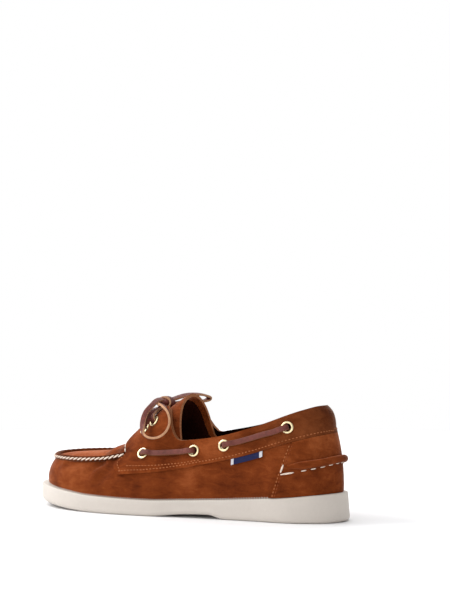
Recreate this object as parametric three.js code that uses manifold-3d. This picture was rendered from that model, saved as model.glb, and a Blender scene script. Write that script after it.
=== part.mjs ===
// Left boat shoe: moulded sole, hollow suede upper with a raised moccasin seam, laced throat.
// Millimetres, +Z up, +Y to the toe, -X to the outer (lateral) side.

import * as THREE from "three";
import { mergeVertices } from "three/addons/utils/BufferGeometryUtils.js";
import Module from "manifold-3d";

const wasm = await Module();
wasm.setup();

// Driving sizes
const soleLength = 298;
const ballWidth = 104;
const heelHeight = 22.6;
const instepHeight = 100;

// Leather and gaps
const gap = 0.3;
const wall = 2;
const overlay = 1.4;
const tongueThickness = 2.6;
const insoleThickness = 3.5;
const insoleClearance = 0.5;

// Grid of the upper's form
const ribsPerStation = 2;
const lowerRows = 4;
const upperRows = 5;
const outsoleSteps = 4;
const roundness = 0.55;

// Rounded edges of the outsole
const bottomRadius = 3;
const bottomCut = 0.9;
const topRadius = 0.8;

// Room around the shoe that cutters reach to, and where a side-view line changes from side to side
const reach = ballWidth;
const blendHalf = 0.15 * ballWidth;

const table = (columns, rows) =>
  rows.map((row) => Object.fromEntries(columns.map((name, i) => [name, row[i]])));

// One row for each section, heel back to toe tip. Columns, as shares of the sizes:
// sole outline (along the length, half widths of ball width) with ledge, flare and belly in mm,
// shoulder (top of the side wall, the moccasin seam in front) and crown (the ridge over the instep).
const stations = table(
  ["along", "lateral", "medial", "ledge", "flare", "belly",
    "shoulderAlong", "shoulderLateral", "shoulderMedial", "heightLateral", "heightMedial",
    "crownAlong", "crownShift", "crownHeight", "rise"],
  [
    [0.000, 0.000, 0.000, 6.8, 1.4, 2.0, 0.0475, 0.000, 0.000, 0.750, 0.750, 0.171, 0.000, 1.09, 1.0],
    [0.030, 0.192, 0.192, 6.0, 1.4, 2.0, 0.069, 0.170, 0.170, 0.745, 0.755, 0.181, 0.000, 1.09, 1.0],
    [0.115, 0.327, 0.327, 3.4, 1.6, 1.6, 0.127, 0.276, 0.276, 0.730, 0.750, 0.205, 0.000, 1.10, 1.0],
    [0.250, 0.361, 0.341, 2.5, 1.5, 1.5, 0.248, 0.308, 0.298, 0.680, 0.720, 0.279, 0.000, 1.12, 1.0],
    [0.400, 0.413, 0.332, 2.0, 0.8, 2.0, 0.393, 0.341, 0.308, 0.610, 0.660, 0.399, 0.005, 1.13, 0.9],
    [0.475, 0.450, 0.365, 2.0, 0.4, 2.2, 0.473, 0.352, 0.322, 0.570, 0.610, 0.480, 0.008, 1.04, 0.8],
    [0.550, 0.490, 0.404, 2.0, 0.2, 2.8, 0.550, 0.385, 0.360, 0.520, 0.560, 0.550, 0.010, 0.91, 0.6],
    [0.650, 0.519, 0.471, 2.0, 0.0, 3.6, 0.634, 0.375, 0.360, 0.483, 0.515, 0.638, 0.010, 0.70, 0.3],
    [0.705, 0.516, 0.486, 2.0, 0.0, 4.0, 0.691, 0.378, 0.374, 0.450, 0.478, 0.695, 0.010, 0.55, 0.2],
    [0.785, 0.490, 0.481, 2.2, 0.0, 4.2, 0.768, 0.365, 0.375, 0.431, 0.453, 0.762, 0.012, 0.490, 0.2],
    [0.885, 0.394, 0.414, 3.5, 0.0, 4.0, 0.856, 0.303, 0.337, 0.428, 0.445, 0.826, 0.020, 0.472, 0.2],
    [0.963, 0.212, 0.269, 6.0, 0.0, 3.2, 0.919, 0.173, 0.231, 0.430, 0.440, 0.869, 0.030, 0.462, 0.2],
    [1.000, -0.038, 0.038, 7.0, 0.0, 3.0, 0.950, -0.038, 0.038, 0.434, 0.436, 0.889, 0.038, 0.457, 0.2],
  ],
);

// The sole seen from the side: height of its top and its underside, as shares of the heel's height.
const soleProfile = table(
  ["along", "top", "bottom"],
  [
    [0.000, 1.050, 0.030],
    [0.040, 1.010, 0.000],
    [0.141, 0.885, 0.000],
    [0.312, 0.722, 0.000],
    [0.360, 0.685, 0.142],
    [0.435, 0.640, 0.115],
    [0.535, 0.585, 0.000],
    [0.708, 0.628, 0.000],
    [0.802, 0.715, 0.049],
    [0.880, 0.800, 0.128],
    [0.953, 0.865, 0.204],
    [1.000, 0.885, 0.265],
  ],
);

// Side-view lines: shares of the sole's length from the heel, heights as shares of the instep's height.
const sideColumns = ["along", "lateral", "medial"];

// The collar's edge and the wing's rear edge.
const collarLine = table(sideColumns, [
  [-0.070, 0.890, 0.890],
  [0.046, 0.906, 0.906],
  [0.066, 0.930, 0.930],
  [0.094, 0.903, 0.915],
  [0.205, 0.780, 0.825],
  [0.329, 0.675, 0.730],
  [0.419, 0.636, 0.680],
  [0.453, 0.630, 0.665],
  [0.470, 0.660, 0.695],
  [0.487, 0.735, 0.765],
  [0.507, 0.845, 0.865],
  [0.530, 0.920, 0.935],
  [0.574, 1.030, 1.030],
]);

// The collar band's lower edge, then the wing's front edge.
const bandLine = table(sideColumns, [
  [-0.070, 0.720, 0.720],
  [0.030, 0.710, 0.720],
  [0.114, 0.650, 0.675],
  [0.258, 0.520, 0.555],
  [0.379, 0.440, 0.470],
  [0.507, 0.370, 0.395],
  [0.638, 0.330, 0.350],
]);
const wingFront = table(sideColumns, [
  [0.640, 0.345, 0.365],
  [0.654, 0.410, 0.430],
  [0.642, 0.470, 0.495],
  [0.630, 0.510, 0.535],
  [0.641, 0.545, 0.570],
  [0.649, 0.580, 0.600],
  [0.648, 0.620, 0.640],
  [0.636, 0.680, 0.695],
  [0.601, 0.840, 0.840],
  [0.581, 1.120, 1.120],
]);

// The heel counter's front edge, from the sole up to the band.
const counterLine = table(sideColumns, [
  [0.179, 0.100, 0.100],
  [0.177, 0.190, 0.190],
  [0.119, 0.700, 0.725],
]);

// The tongue: rear edge, front end under the apron, side edges.
const tongueLine = table(sideColumns, [
  [0.456, 0.600, 0.590],
  [0.461, 0.660, 0.610],
  [0.480, 0.880, 0.660],
  [0.493, 1.120, 0.860],
  [0.502, 1.120, 1.120],
  [0.735, 1.120, 1.120],
  [0.681, 0.620, 0.620],
  [0.674, 0.490, 0.510],
  [0.601, 0.530, 0.560],
]);

// Side label under the band's lower edge, on the lateral side.
const labelFrom = 0.196;
const labelTo = 0.294;
const labelHeight = 5;

// Eyelets of each side, front to rear, then those of the wing.
const sideEyelets = table(sideColumns, [
  [0.565, 0.504, 0.534],
  [0.405, 0.545, 0.580],
  [0.314, 0.597, 0.637],
  [0.131, 0.760, 0.785],
]);
const throatEyelets = table(sideColumns, [
  [0.584, 0.695, 0.710],
  [0.554, 0.762, 0.780],
]);

// Throat slot between the wings: width, its front end in the upper, and past the wings in the band.
const throatWidth = 0.375 * ballWidth;
const throatFront = 0.638;
const throatBottom = 0.5;
const wingsFront = 0.701;

// Eyelets
const eyeletOuter = 5;
const eyeletHole = 3;
const barrelOuter = 3.7;
const flange = 0.9;
const flangeGap = 0.45;
const eyeletSides = 8;

// Raised seams: round beads, how far each stands out and where it runs round the shoe
const seamRadius = 2.3;
const seamLift = 0.5;
const seamStart = 0.291;
const ridgeRadius = 3.6;
const ridgeLift = 3.4;
const ridgeEnd = 0.093;
const ridgeHeightEnd = 0.45;
const ridgeHeightBack = 0.50;

// Rawhide lace
const laceWidth = 4.6;
const laceThickness = 2;
const laceCorner = 0.5;

// The lace's free parts: each point as shares of ball width, sole length and instep height,
// with the way that the lace's face looks there.
const laceColumns = ["across", "along", "height", "nx", "ny", "nz"];
const loopLateral = table(laceColumns, [
  [-0.0490, 0.5738, 0.950, 0.03, -0.42, 0.91],
  [-0.1404, 0.5779, 0.943, -0.41, -0.32, 0.85],
  [-0.2441, 0.5804, 0.899, -0.74, -0.11, 0.67],
  [-0.3154, 0.5827, 0.847, -0.92, 0.09, 0.38],
  [-0.3676, 0.5804, 0.780, -0.98, 0.20, -0.02],
  [-0.3979, 0.5752, 0.715, -0.88, 0.26, -0.39],
  [-0.4125, 0.5609, 0.664, -0.61, 0.29, -0.74],
  [-0.4122, 0.5379, 0.643, -0.21, 0.16, -0.96],
  [-0.4034, 0.5132, 0.653, 0.11, -0.18, -0.98],
  [-0.3920, 0.4936, 0.693, 0.33, -0.56, -0.76],
  [-0.3682, 0.4863, 0.755, 0.49, -0.82, -0.31],
  [-0.3248, 0.4969, 0.835, 0.48, -0.79, 0.37],
  [-0.2477, 0.5303, 0.898, 0.15, -0.53, 0.84],
  [-0.0962, 0.5815, 0.913, -0.10, -0.21, 0.97],
]);
const loopMedial = table(laceColumns, [
  [0.0433, 0.5638, 0.946, 0.00, -0.30, 1.00],
  [0.1827, 0.5470, 0.978, 0.00, -0.40, 0.90],
  [0.2885, 0.5302, 0.984, 0.20, -0.30, 0.90],
  [0.3750, 0.5185, 0.970, 0.50, -0.30, 0.80],
  [0.4231, 0.5151, 0.946, 0.95, -0.10, 0.10],
  [0.3894, 0.5235, 0.924, 0.40, 0.00, -0.90],
  [0.2981, 0.5352, 0.926, -0.10, 0.20, -1.00],
  [0.2019, 0.5487, 0.924, -0.20, 0.20, -1.00],
  [0.0529, 0.5688, 0.912, -0.20, 0.10, -1.00],
]);
const endLateral = table(laceColumns, [
  [-0.0865, 0.5654, 0.881, -0.20, 0.00, 0.90],
  [-0.1827, 0.5688, 0.865, -0.60, 0.00, 0.80],
  [-0.2596, 0.5705, 0.820, -0.85, 0.00, 0.50],
  [-0.3173, 0.5705, 0.768, -0.95, 0.10, 0.20],
  [-0.3548, 0.5715, 0.720, -0.95, 0.10, 0.20],
]);
const endMedial = table(laceColumns, [
  [0.0433, 0.5856, 0.898, 0.3, 0.2, 0.9],
  [0.1827, 0.5906, 0.885, 0.6, 0.2, 0.8],
  [0.2837, 0.5940, 0.845, 0.85, 0.2, 0.5],
  [0.3462, 0.5956, 0.765, 0.95, 0.1, 0.2],
  [0.3798, 0.5940, 0.685, 0.95, 0.1, 0.2],
]);
const knot = { across: -0.024, along: 0.572, height: 0.92 };
const knotRadii = new THREE.Vector3(2.4, 1.65, 1.15).multiplyScalar(laceWidth);
const crossingForward = 1.5;

// Where the lace between two eyelets is held to the form, and how far a side bar sags
const betweenEyelets = [0.3, 0.5, 0.7];
const barSag = 0.008;

const alongToY = (share) => (share - 0.5) * soleLength;
const placeOf = ({ across, along, height }) =>
  new THREE.Vector3(across * ballWidth, alongToY(along), height * instepHeight);

// Smooth curve through a table's column that never passes its own highest and lowest rows.
function profile(rows, column) {
  const xs = rows.map((row) => alongToY(row.along));
  const ys = rows.map((row) => row[column] * heelHeight);
  const secants = xs.slice(1).map((x, i) => (ys[i + 1] - ys[i]) / (x - xs[i]));
  const slopes = xs.map((_, i) => {
    const before = secants[i - 1];
    const after = secants[i];
    if (before === undefined || after === undefined) return before ?? after;
    return before * after <= 0 ? 0 : (2 * before * after) / (before + after);
  });
  return (y) => {
    const i = Math.min(Math.max(xs.findIndex((x) => x > y) - 1, 0), xs.length - 2);
    const last = y >= xs[xs.length - 1] ? xs.length - 2 : i;
    const width = xs[last + 1] - xs[last];
    const t = THREE.MathUtils.clamp((y - xs[last]) / width, 0, 1);
    const t2 = t * t;
    const t3 = t2 * t;
    return (2 * t3 - 3 * t2 + 1) * ys[last] + (t3 - 2 * t2 + t) * width * slopes[last]
      + (3 * t2 - 2 * t3) * ys[last + 1] + (t3 - t2) * width * slopes[last + 1];
  };
}

const soleTop = profile(soleProfile, "top");
const soleBottom = profile(soleProfile, "bottom");

// Closed guide line round the shoe: heel back, lateral rows, toe tip, medial rows.
function guide(pick) {
  const lateral = stations.map((row) => pick(row, "lateral"));
  const medial = stations.slice(1, -1).reverse().map((row) => pick(row, "medial"));
  return new THREE.CatmullRomCurve3([...lateral, ...medial], true, "centripetal");
}

const sideSign = { lateral: -1, medial: 1 };
const capital = (side) => side[0].toUpperCase() + side.slice(1);

const outlineGuide = guide((row, side) =>
  new THREE.Vector3(sideSign[side] * row[side] * ballWidth, alongToY(row.along), 0));
const trimGuide = guide((row) => new THREE.Vector3(row.ledge, row.flare, row.belly));
const shoulderGuide = guide((row, side) => new THREE.Vector3(
  sideSign[side] * row[`shoulder${capital(side)}`] * ballWidth,
  alongToY(row.shoulderAlong),
  row[`height${capital(side)}`] * instepHeight,
));
const riseGuide = guide((row) => new THREE.Vector3(row.rise, row.along, 0));
const crownGuide = new THREE.CatmullRomCurve3(
  stations.map((row) => new THREE.Vector3(
    row.crownShift * ballWidth, alongToY(row.crownAlong), row.crownHeight * instepHeight)),
  false,
  "centripetal",
);

// Point of the sole's outline with its outward direction and the trims there.
function outlineAt(share) {
  const step = 1e-3;
  const ahead = outlineGuide.getPoint((share + step) % 1);
  const behind = outlineGuide.getPoint((share - step + 1) % 1);
  const along = ahead.sub(behind);
  return {
    point: outlineGuide.getPoint(share),
    outward: new THREE.Vector3(-along.y, along.x, 0).normalize(),
    trim: trimGuide.getPoint(share),
  };
}

// Triangles of a band between two rings of equal count, outward for rings that run heel, lateral, toe.
function ringFaces(lower, upper, count, faces) {
  for (let k = 0; k < count; k += 1) {
    const next = (k + 1) % count;
    faces.push(lower(k), upper(k), upper(next));
    faces.push(lower(k), upper(next), lower(next));
  }
}

// Flat strips across a ring, each from a lateral point to its medial partner.
function capFaces(ring, count, facingUp, faces) {
  for (let k = 0; k < count / 2; k += 1) {
    const corners = [ring(k), ring(k + 1), ring(count - k - 1), ring((count - k) % count)];
    if (facingUp) corners.reverse();
    const [a, b, c, d] = corners;
    if (a !== b && b !== c && a !== c) faces.push(a, b, c);
    if (a !== c && c !== d && a !== d) faces.push(a, c, d);
  }
}

function geometryOf(points, faces) {
  const geometry = new THREE.BufferGeometry();
  const numbers = points.flatMap((p) => [p.x, p.y, p.z]);
  geometry.setAttribute("position", new THREE.Float32BufferAttribute(numbers, 3));
  geometry.setIndex(faces);
  return geometry;
}

// Body of stacked rings, each given by its inset from the outline and its height at a point.
function slab(steps, rings) {
  const count = 2 * (stations.length - 1) * steps;
  const points = [];
  for (const ring of rings) {
    for (let k = 0; k < count; k += 1) {
      const { point, outward, trim } = outlineAt(k / count);
      const spot = point.clone().addScaledVector(outward, -ring.inset(trim));
      spot.z = ring.height(spot.y);
      points.push(spot);
    }
  }
  const faces = [];
  for (let r = 0; r + 1 < rings.length; r += 1) {
    ringFaces((k) => r * count + k, (k) => (r + 1) * count + k, count, faces);
  }
  capFaces((k) => k, count, false, faces);
  capFaces((k) => (rings.length - 1) * count + k, count, true, faces);
  return geometryOf(points, faces);
}

// Points of one rib of the upper's form, from the feather line over the shoulder to the crown.
function rib(index, count) {
  const share = index / count;
  const { point, outward, trim } = outlineAt(share);
  const foot = point.clone().addScaledVector(outward, -trim.x);
  foot.z = soleTop(foot.y) + gap;
  const shoulder = shoulderGuide.getPoint(share);
  const rise = riseGuide.getPoint(share).x;
  const crown = crownGuide.getPoint(Math.min(index, count - index) / (count / 2));
  const belly = foot.clone().lerp(shoulder, 0.5).addScaledVector(outward, 2 * trim.z);
  const side = new THREE.QuadraticBezierCurve3(foot, belly, shoulder);
  const upright = shoulder.clone();
  upright.z += roundness * (crown.z - shoulder.z);
  const level = crown.clone().lerp(shoulder, roundness);
  level.z = crown.z;
  const leave = shoulder.clone().lerp(crown, 1 / 3).lerp(upright, rise);
  const top = new THREE.CubicBezierCurve3(shoulder, leave, level, crown);
  return [...side.getPoints(lowerRows).slice(0, -1), ...top.getPoints(upperRows)];
}

// Closed body of the upper's form, grown outward by an offset; a drop carries its foot below the sole's top.
function form(offset, drop = 0) {
  const count = 2 * (stations.length - 1) * ribsPerStation;
  const half = count / 2;
  const rows = lowerRows + upperRows;
  const ribs = Array.from({ length: count }, (_, k) => rib(k, count));
  const points = [];
  for (let r = 0; r < rows; r += 1) {
    for (let k = 0; k < count; k += 1) points.push(ribs[k][r]);
  }
  for (let k = 0; k <= half; k += 1) points.push(ribs[k][rows]);
  const at = (r) => (k) => (r < rows ? r * count + k : rows * count + Math.min(k, count - k));
  const faces = [];
  for (let r = 0; r < rows; r += 1) ringFaces(at(r), at(r + 1), count, faces);
  const open = faces.filter((_, i) => {
    const [a, b, c] = faces.slice(i - (i % 3), i - (i % 3) + 3);
    return a !== b && b !== c && a !== c;
  });
  const wallOnly = geometryOf(points, open);
  wallOnly.computeVertexNormals();
  const normals = wallOnly.attributes.normal;
  const grown = points.map((p, i) => {
    const out = new THREE.Vector3().fromBufferAttribute(normals, i);
    if (i < count) out.setZ(0).normalize();
    return p.clone().addScaledVector(out, offset);
  });
  if (drop > 0) {
    const foot = grown.slice(0, count).map((p) => p.clone().setZ(p.z - drop));
    const base = grown.length;
    grown.push(...foot);
    ringFaces((k) => base + k, at(0), count, open);
    capFaces((k) => base + k, count, false, open);
  } else {
    capFaces(at(0), count, false, open);
  }
  return geometryOf(grown, open);
}

// Closed geometry to solid and back.
function solid(geometry) {
  const bare = new THREE.BufferGeometry();
  bare.setAttribute("position", geometry.attributes.position.clone());
  if (geometry.index) bare.setIndex(geometry.index.clone());
  const merged = mergeVertices(bare, 1e-4);
  return new wasm.Manifold(new wasm.Mesh({
    numProp: 3,
    vertProperties: new Float32Array(merged.attributes.position.array),
    triVerts: new Uint32Array(merged.index.array),
  }));
}

function geometryFrom(manifold) {
  const mesh = manifold.getMesh();
  const geometry = new THREE.BufferGeometry();
  geometry.setAttribute("position", new THREE.BufferAttribute(mesh.vertProperties.slice(), 3));
  geometry.setIndex([...mesh.triVerts]);
  return geometry;
}

// Prism across the shoe: a side-view outline with one height on each side, blended over the middle.
function sidePrism(outline, from = -reach, to = reach) {
  const flat = outline.map((row) => new THREE.Vector2(row.along, row.lateral));
  const rows = THREE.ShapeUtils.isClockWise(flat) ? [...outline].reverse() : outline;
  const count = rows.length;
  const columns = [
    { x: from, side: "lateral" },
    { x: Math.max(-blendHalf, from), side: "lateral" },
    { x: Math.min(blendHalf, to), side: to > 0 ? "medial" : "lateral" },
    { x: to, side: to > 0 ? "medial" : "lateral" },
  ].filter((column, i, all) => i === 0 || column.x > all[i - 1].x);
  const points = columns.flatMap(({ x, side }) =>
    rows.map((row) => new THREE.Vector3(x, alongToY(row.along), row[side] * instepHeight)));
  const contour = (side) => rows.map((row) => new THREE.Vector2(row.along, row[side]));
  const faces = [];
  for (const [a, b, c] of THREE.ShapeUtils.triangulateShape(contour(columns[0].side), [])) {
    faces.push(a, c, b);
  }
  const last = (columns.length - 1) * count;
  for (const [a, b, c] of THREE.ShapeUtils.triangulateShape(contour(columns.at(-1).side), [])) {
    faces.push(last + a, last + b, last + c);
  }
  for (let base = 0; base < last; base += count) {
    for (let i = 0; i < count; i += 1) {
      const next = (i + 1) % count;
      faces.push(base + i, base + next, base + count + next);
      faces.push(base + i, base + count + next, base + count + i);
    }
  }
  return solid(geometryOf(points, faces));
}

// Smooth side-view line through a table's rows.
function smoothLine(rows, steps) {
  const curve = new THREE.CatmullRomCurve3(
    rows.map((row) => new THREE.Vector3(row.along, row.lateral, row.medial)), false, "centripetal");
  return curve.getPoints(steps).map((p) => ({ along: p.x, lateral: p.y, medial: p.z }));
}

// Slot between the wings, cut straight down, with its front end at a share of the length.
function throatCutter(front) {
  const half = throatWidth / 2;
  const shape = new THREE.Shape([
    new THREE.Vector2(-half, -reach),
    new THREE.Vector2(half, -reach),
    new THREE.Vector2(half, alongToY(front)),
    new THREE.Vector2(-half, alongToY(front)),
  ]);
  const geometry = new THREE.ExtrudeGeometry(shape, { depth: reach, bevelEnabled: false });
  geometry.translate(0, 0, throatBottom * instepHeight);
  return solid(geometry);
}

// A side-view region above a line, closed high over the shoe.
function above(line) {
  const high = 1.8;
  return [
    ...line,
    { along: line.at(-1).along, lateral: high, medial: high },
    { along: line[0].along, lateral: high, medial: high },
  ];
}

const collarCutter = sidePrism(above(smoothLine(collarLine, 34)));
const bandRegion = sidePrism(above([...smoothLine(bandLine, 16), ...wingFront]));

function outsole() {
  return slab(outsoleSteps, [
    { inset: () => bottomRadius, height: soleBottom },
    { inset: () => bottomCut, height: (y) => soleBottom(y) + bottomCut },
    { inset: () => 0, height: (y) => soleBottom(y) + bottomRadius },
    { inset: (trim) => trim.y, height: (y) => soleTop(y) - topRadius },
    { inset: (trim) => trim.y + topRadius, height: soleTop },
  ]);
}

function insole() {
  const inset = (trim) => trim.x + wall + insoleClearance;
  return slab(ribsPerStation, [
    { inset, height: (y) => soleTop(y) + gap },
    { inset, height: (y) => soleTop(y) + gap + insoleThickness },
  ]);
}

function upper() {
  return solid(form(0))
    .subtract(solid(form(-wall, heelHeight)))
    .subtract(collarCutter)
    .subtract(throatCutter(throatFront))
    .subtract(bores);
}

function tongue() {
  const outer = -wall - gap;
  const shell = solid(form(outer)).subtract(solid(form(outer - tongueThickness, heelHeight)));
  return shell.intersect(sidePrism(tongueLine));
}

// Skin between two offsets of the form, for pieces that lie on the upper.
const bandSkin = solid(form(gap + overlay)).subtract(solid(form(gap, heelHeight)));

// The form's outer surface as a target for straight lines of sight.
const target = new THREE.Mesh(form(0), new THREE.MeshBasicMaterial({ side: THREE.DoubleSide }));
target.geometry.computeVertexNormals();

function cast(from, way) {
  const [hit] = new THREE.Raycaster(from, way).intersectObject(target);
  return { point: hit.point, normal: hit.normal.clone().normalize() };
}

// Spot on a side of the form at a share of the length and of the instep's height.
function spotOnSide(side, along, height) {
  const from = new THREE.Vector3(sideSign[side] * reach, alongToY(along), height * instepHeight);
  return cast(from, new THREE.Vector3(-sideSign[side], 0, 0));
}

function lifted(spot, lift) {
  return spot.point.clone().addScaledVector(spot.normal, lift);
}

function turned(geometry, spot, lift) {
  const turn = new THREE.Quaternion().setFromUnitVectors(new THREE.Vector3(0, 1, 0), spot.normal);
  geometry.applyQuaternion(turn);
  const place = lifted(spot, lift);
  geometry.translate(place.x, place.y, place.z);
  return geometry;
}

const eyeletSeat = gap + overlay + flangeGap;
const eyeletTop = eyeletSeat + flange;
const eyelets = ["lateral", "medial"].flatMap((side) => [
  ...sideEyelets.map((row, i) => ({ name: `eyelet_${side}_${i + 1}`, side, row })),
  ...throatEyelets.map((row, i) => ({ name: `eyelet_throat_${side}_${i + 1}`, side, row })),
]).map(({ name, side, row }) => ({ name, spot: spotOnSide(side, row.along, row[side]) }));
const eyeletSpot = (name) => eyelets.find((eyelet) => eyelet.name === name).spot;

// Straight hole through band and upper for one eyelet's barrel.
function eyeletBore(spot) {
  const depth = 2 * (wall + eyeletSeat);
  const bore = new THREE.CylinderGeometry(barrelOuter + gap, barrelOuter + gap, depth, eyeletSides);
  return solid(turned(bore, spot, 0));
}
const bores = eyelets.map(({ spot }) => eyeletBore(spot)).reduce((all, bore) => all.add(bore));

// Eyelet: a flat flange with a barrel that ends inside the upper's wall.
function eyelet(spot) {
  const depth = eyeletSeat + wall - gap;
  const profileLine = [
    [eyeletHole, -depth],
    [barrelOuter, -depth],
    [barrelOuter, 0],
    [eyeletOuter, 0],
    [eyeletOuter, flange],
    [eyeletHole, flange],
    [eyeletHole, -depth],
  ].map(([radius, height]) => new THREE.Vector2(radius, height));
  return turned(new THREE.LatheGeometry(profileLine, eyeletSides), spot, eyeletSeat);
}

// Closed body of a section carried along a path; each path point has its place and face direction.
function sweep(path, section) {
  const points = [];
  path.forEach(({ point, face }, i) => {
    const tangent = path[Math.min(i + 1, path.length - 1)].point.clone()
      .sub(path[Math.max(i - 1, 0)].point).normalize();
    const across = tangent.clone().cross(face).normalize();
    const up = across.clone().cross(tangent);
    for (const [a, u] of section) {
      points.push(point.clone().addScaledVector(across, a).addScaledVector(up, u));
    }
  });
  const count = section.length;
  const last = (path.length - 1) * count;
  const faces = [];
  for (let base = 0; base < last; base += count) {
    for (let j = 0; j < count; j += 1) {
      const next = (j + 1) % count;
      faces.push(base + j, base + count + j, base + count + next);
      faces.push(base + j, base + count + next, base + next);
    }
  }
  for (let j = 1; j + 1 < count; j += 1) {
    faces.push(0, j, j + 1);
    faces.push(last, last + j + 1, last + j);
  }
  return geometryOf(points, faces);
}

const roundSection = (radius, sides) => Array.from({ length: sides }, (_, i) => {
  const turn = (2 * Math.PI * (i + 0.5)) / sides;
  return [radius * Math.cos(turn), radius * Math.sin(turn)];
});

// Flat section with cut corners, grown by some room on all sides.
function flatSection(room) {
  const a = laceWidth / 2 + room;
  const u = laceThickness / 2 + room;
  const quarter = [[a, u - laceCorner], [a - laceCorner, u]];
  const mirrored = quarter.map(([x, y]) => [-x, y]).reverse();
  const lower = [...quarter, ...mirrored].map(([x, y]) => [x, -y]).reverse();
  return [...quarter, ...mirrored, ...lower];
}
const laceSection = flatSection(0);
const halfThick = laceThickness / 2;

// Path or stops made longer by some room at both ends.
function lengthened(stops, room) {
  const ends = [[stops[0], stops[1]], [stops.at(-1), stops.at(-2)]];
  for (const [end, inner] of ends) {
    end.point.addScaledVector(end.point.clone().sub(inner.point).normalize(), room);
  }
  return stops;
}

// Smooth path through points and face directions, with some steps between neighbours.
function smoothPath(stops, steps) {
  const places = new THREE.CatmullRomCurve3(stops.map((stop) => stop.point), false, "centripetal");
  const faces = new THREE.CatmullRomCurve3(stops.map((stop) => stop.face), false, "catmullrom");
  const count = (stops.length - 1) * steps;
  return Array.from({ length: count + 1 }, (_, i) => ({
    point: places.getPoint(i / count),
    face: faces.getPoint(i / count).normalize(),
  }));
}

// Heights of the lace's middle over the form: resting on the band, over an eyelet's flange, in its hole.
const laceRest = eyeletSeat + halfThick;
const laceOver = eyeletTop + gap + halfThick;
const laceSunk = -0.5;
const laceBend = 1.5;

// The lace leaves an eyelet's hole and bends over its flange towards a direction.
function leaveEyelet(spot, way) {
  const stop = (ahead, lift, upright) => ({
    point: lifted(spot, lift).addScaledVector(way, ahead),
    face: way.clone().multiplyScalar(-upright).addScaledVector(spot.normal, 1 - upright).normalize(),
  });
  return [
    stop(0, laceSunk, 1),
    stop(0, eyeletTop + gap / 2, 1),
    stop(0.3 * laceBend, laceOver - gap, 0.5),
    stop(laceBend, laceOver + gap, 0),
    stop(eyeletOuter + 1, laceOver, 0),
  ];
}

// Visible stretch of the lace from one eyelet to another over given spots between them.
function laceBetween(from, to, middles, lift) {
  const flatWay = (spot, toward) => {
    const way = toward.clone().sub(spot.point);
    return way.addScaledVector(spot.normal, -way.dot(spot.normal)).normalize();
  };
  const first = leaveEyelet(from, flatWay(from, (middles[0] ?? to).point));
  const last = leaveEyelet(to, flatWay(to, (middles.at(-1) ?? from).point)).reverse();
  const between = middles.map((spot) => ({ point: lifted(spot, lift), face: spot.normal }));
  return sweep(smoothPath([...first, ...between, ...last], 1), laceSection);
}

// Side bar between two eyelets of one side, with a little sag.
function sideBar(side, front, rear) {
  const a = sideEyelets[front - 1];
  const b = sideEyelets[rear - 1];
  const middles = betweenEyelets.map((t) => spotOnSide(
    side,
    THREE.MathUtils.lerp(a.along, b.along, t),
    THREE.MathUtils.lerp(a[side], b[side], t) - barSag * 4 * t * (1 - t),
  ));
  const from = eyeletSpot(`eyelet_${side}_${front}`);
  const to = eyeletSpot(`eyelet_${side}_${rear}`);
  return laceBetween(from, to, middles, laceRest + gap);
}

// The lace over the tongue from one front throat eyelet to the other.
function laceCrossing() {
  const from = eyeletSpot("eyelet_throat_lateral_1");
  const to = eyeletSpot("eyelet_throat_medial_1");
  const middles = betweenEyelets.map((t) => {
    const over = from.point.clone().lerp(to.point, t);
    over.y += crossingForward;
    return cast(over.setZ(2 * instepHeight), new THREE.Vector3(0, 0, -1));
  });
  return laceBetween(from, to, middles, laceRest);
}

const stopOf = (row) => ({
  point: placeOf(row),
  face: new THREE.Vector3(row.nx, row.ny, row.nz).normalize(),
});
const freeLaces = [
  { name: "lace_loop_lateral", rows: loopLateral },
  { name: "lace_loop_medial", rows: loopMedial },
  { name: "lace_end_lateral", rows: endLateral },
  { name: "lace_end_medial", rows: endMedial },
];
const freeLace = (rows, room = 0) =>
  sweep(smoothPath(lengthened(rows.map(stopOf), room), 1), flatSection(room));

// Knot of the bow with its two legs out of the rear throat eyelets, open where loops and ends leave it.
function laceKnot() {
  const knotMiddle = placeOf(knot);
  const ball = new THREE.SphereGeometry(1, 8, 5);
  ball.scale(knotRadii.x, knotRadii.y, knotRadii.z);
  ball.translate(knotMiddle.x, knotMiddle.y, knotMiddle.z);
  const legs = ["lateral", "medial"].map((side) => {
    const spot = eyeletSpot(`eyelet_throat_${side}_2`);
    const way = knotMiddle.clone().sub(spot.point).normalize();
    way.addScaledVector(spot.normal, -way.dot(spot.normal)).normalize();
    const stops = leaveEyelet(spot, way);
    stops.push({ point: knotMiddle.clone(), face: new THREE.Vector3(0, 0, 1) });
    return solid(sweep(smoothPath(stops, 1), laceSection));
  });
  const whole = legs.reduce((all, leg) => all.add(leg), solid(ball));
  const opened = freeLaces.reduce(
    (rest, { rows }) => rest.subtract(solid(freeLace(rows, gap))), whole);
  return opened.decompose().reduce((main, body) => (body.volume() > main.volume() ? body : main));
}

// Band round the collar with its two wings.
function collarBand() {
  return bandSkin
    .intersect(bandRegion)
    .subtract(collarCutter)
    .subtract(throatCutter(wingsFront))
    .subtract(apronSeam(gap))
    .subtract(bores);
}

// Side-view line moved up or down by a share of the instep's height.
const moved = (line, by) => line.map((row) => ({
  along: row.along, lateral: row.lateral + by, medial: row.medial + by }));
const underBand = -gap / instepHeight;

// Back piece between the sole and the band, its front edge leaning back.
function heelCounter() {
  const top = moved(smoothLine(bandLine, 16), underBand)
    .filter((row) => row.along < counterLine.at(-1).along - 0.004);
  const [foot, low] = counterLine;
  const back = { ...foot, along: top[0].along };
  const front = moved([counterFront()], underBand);
  return bandSkin.intersect(sidePrism([back, foot, low, ...front, ...top.reverse()]));
}

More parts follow.
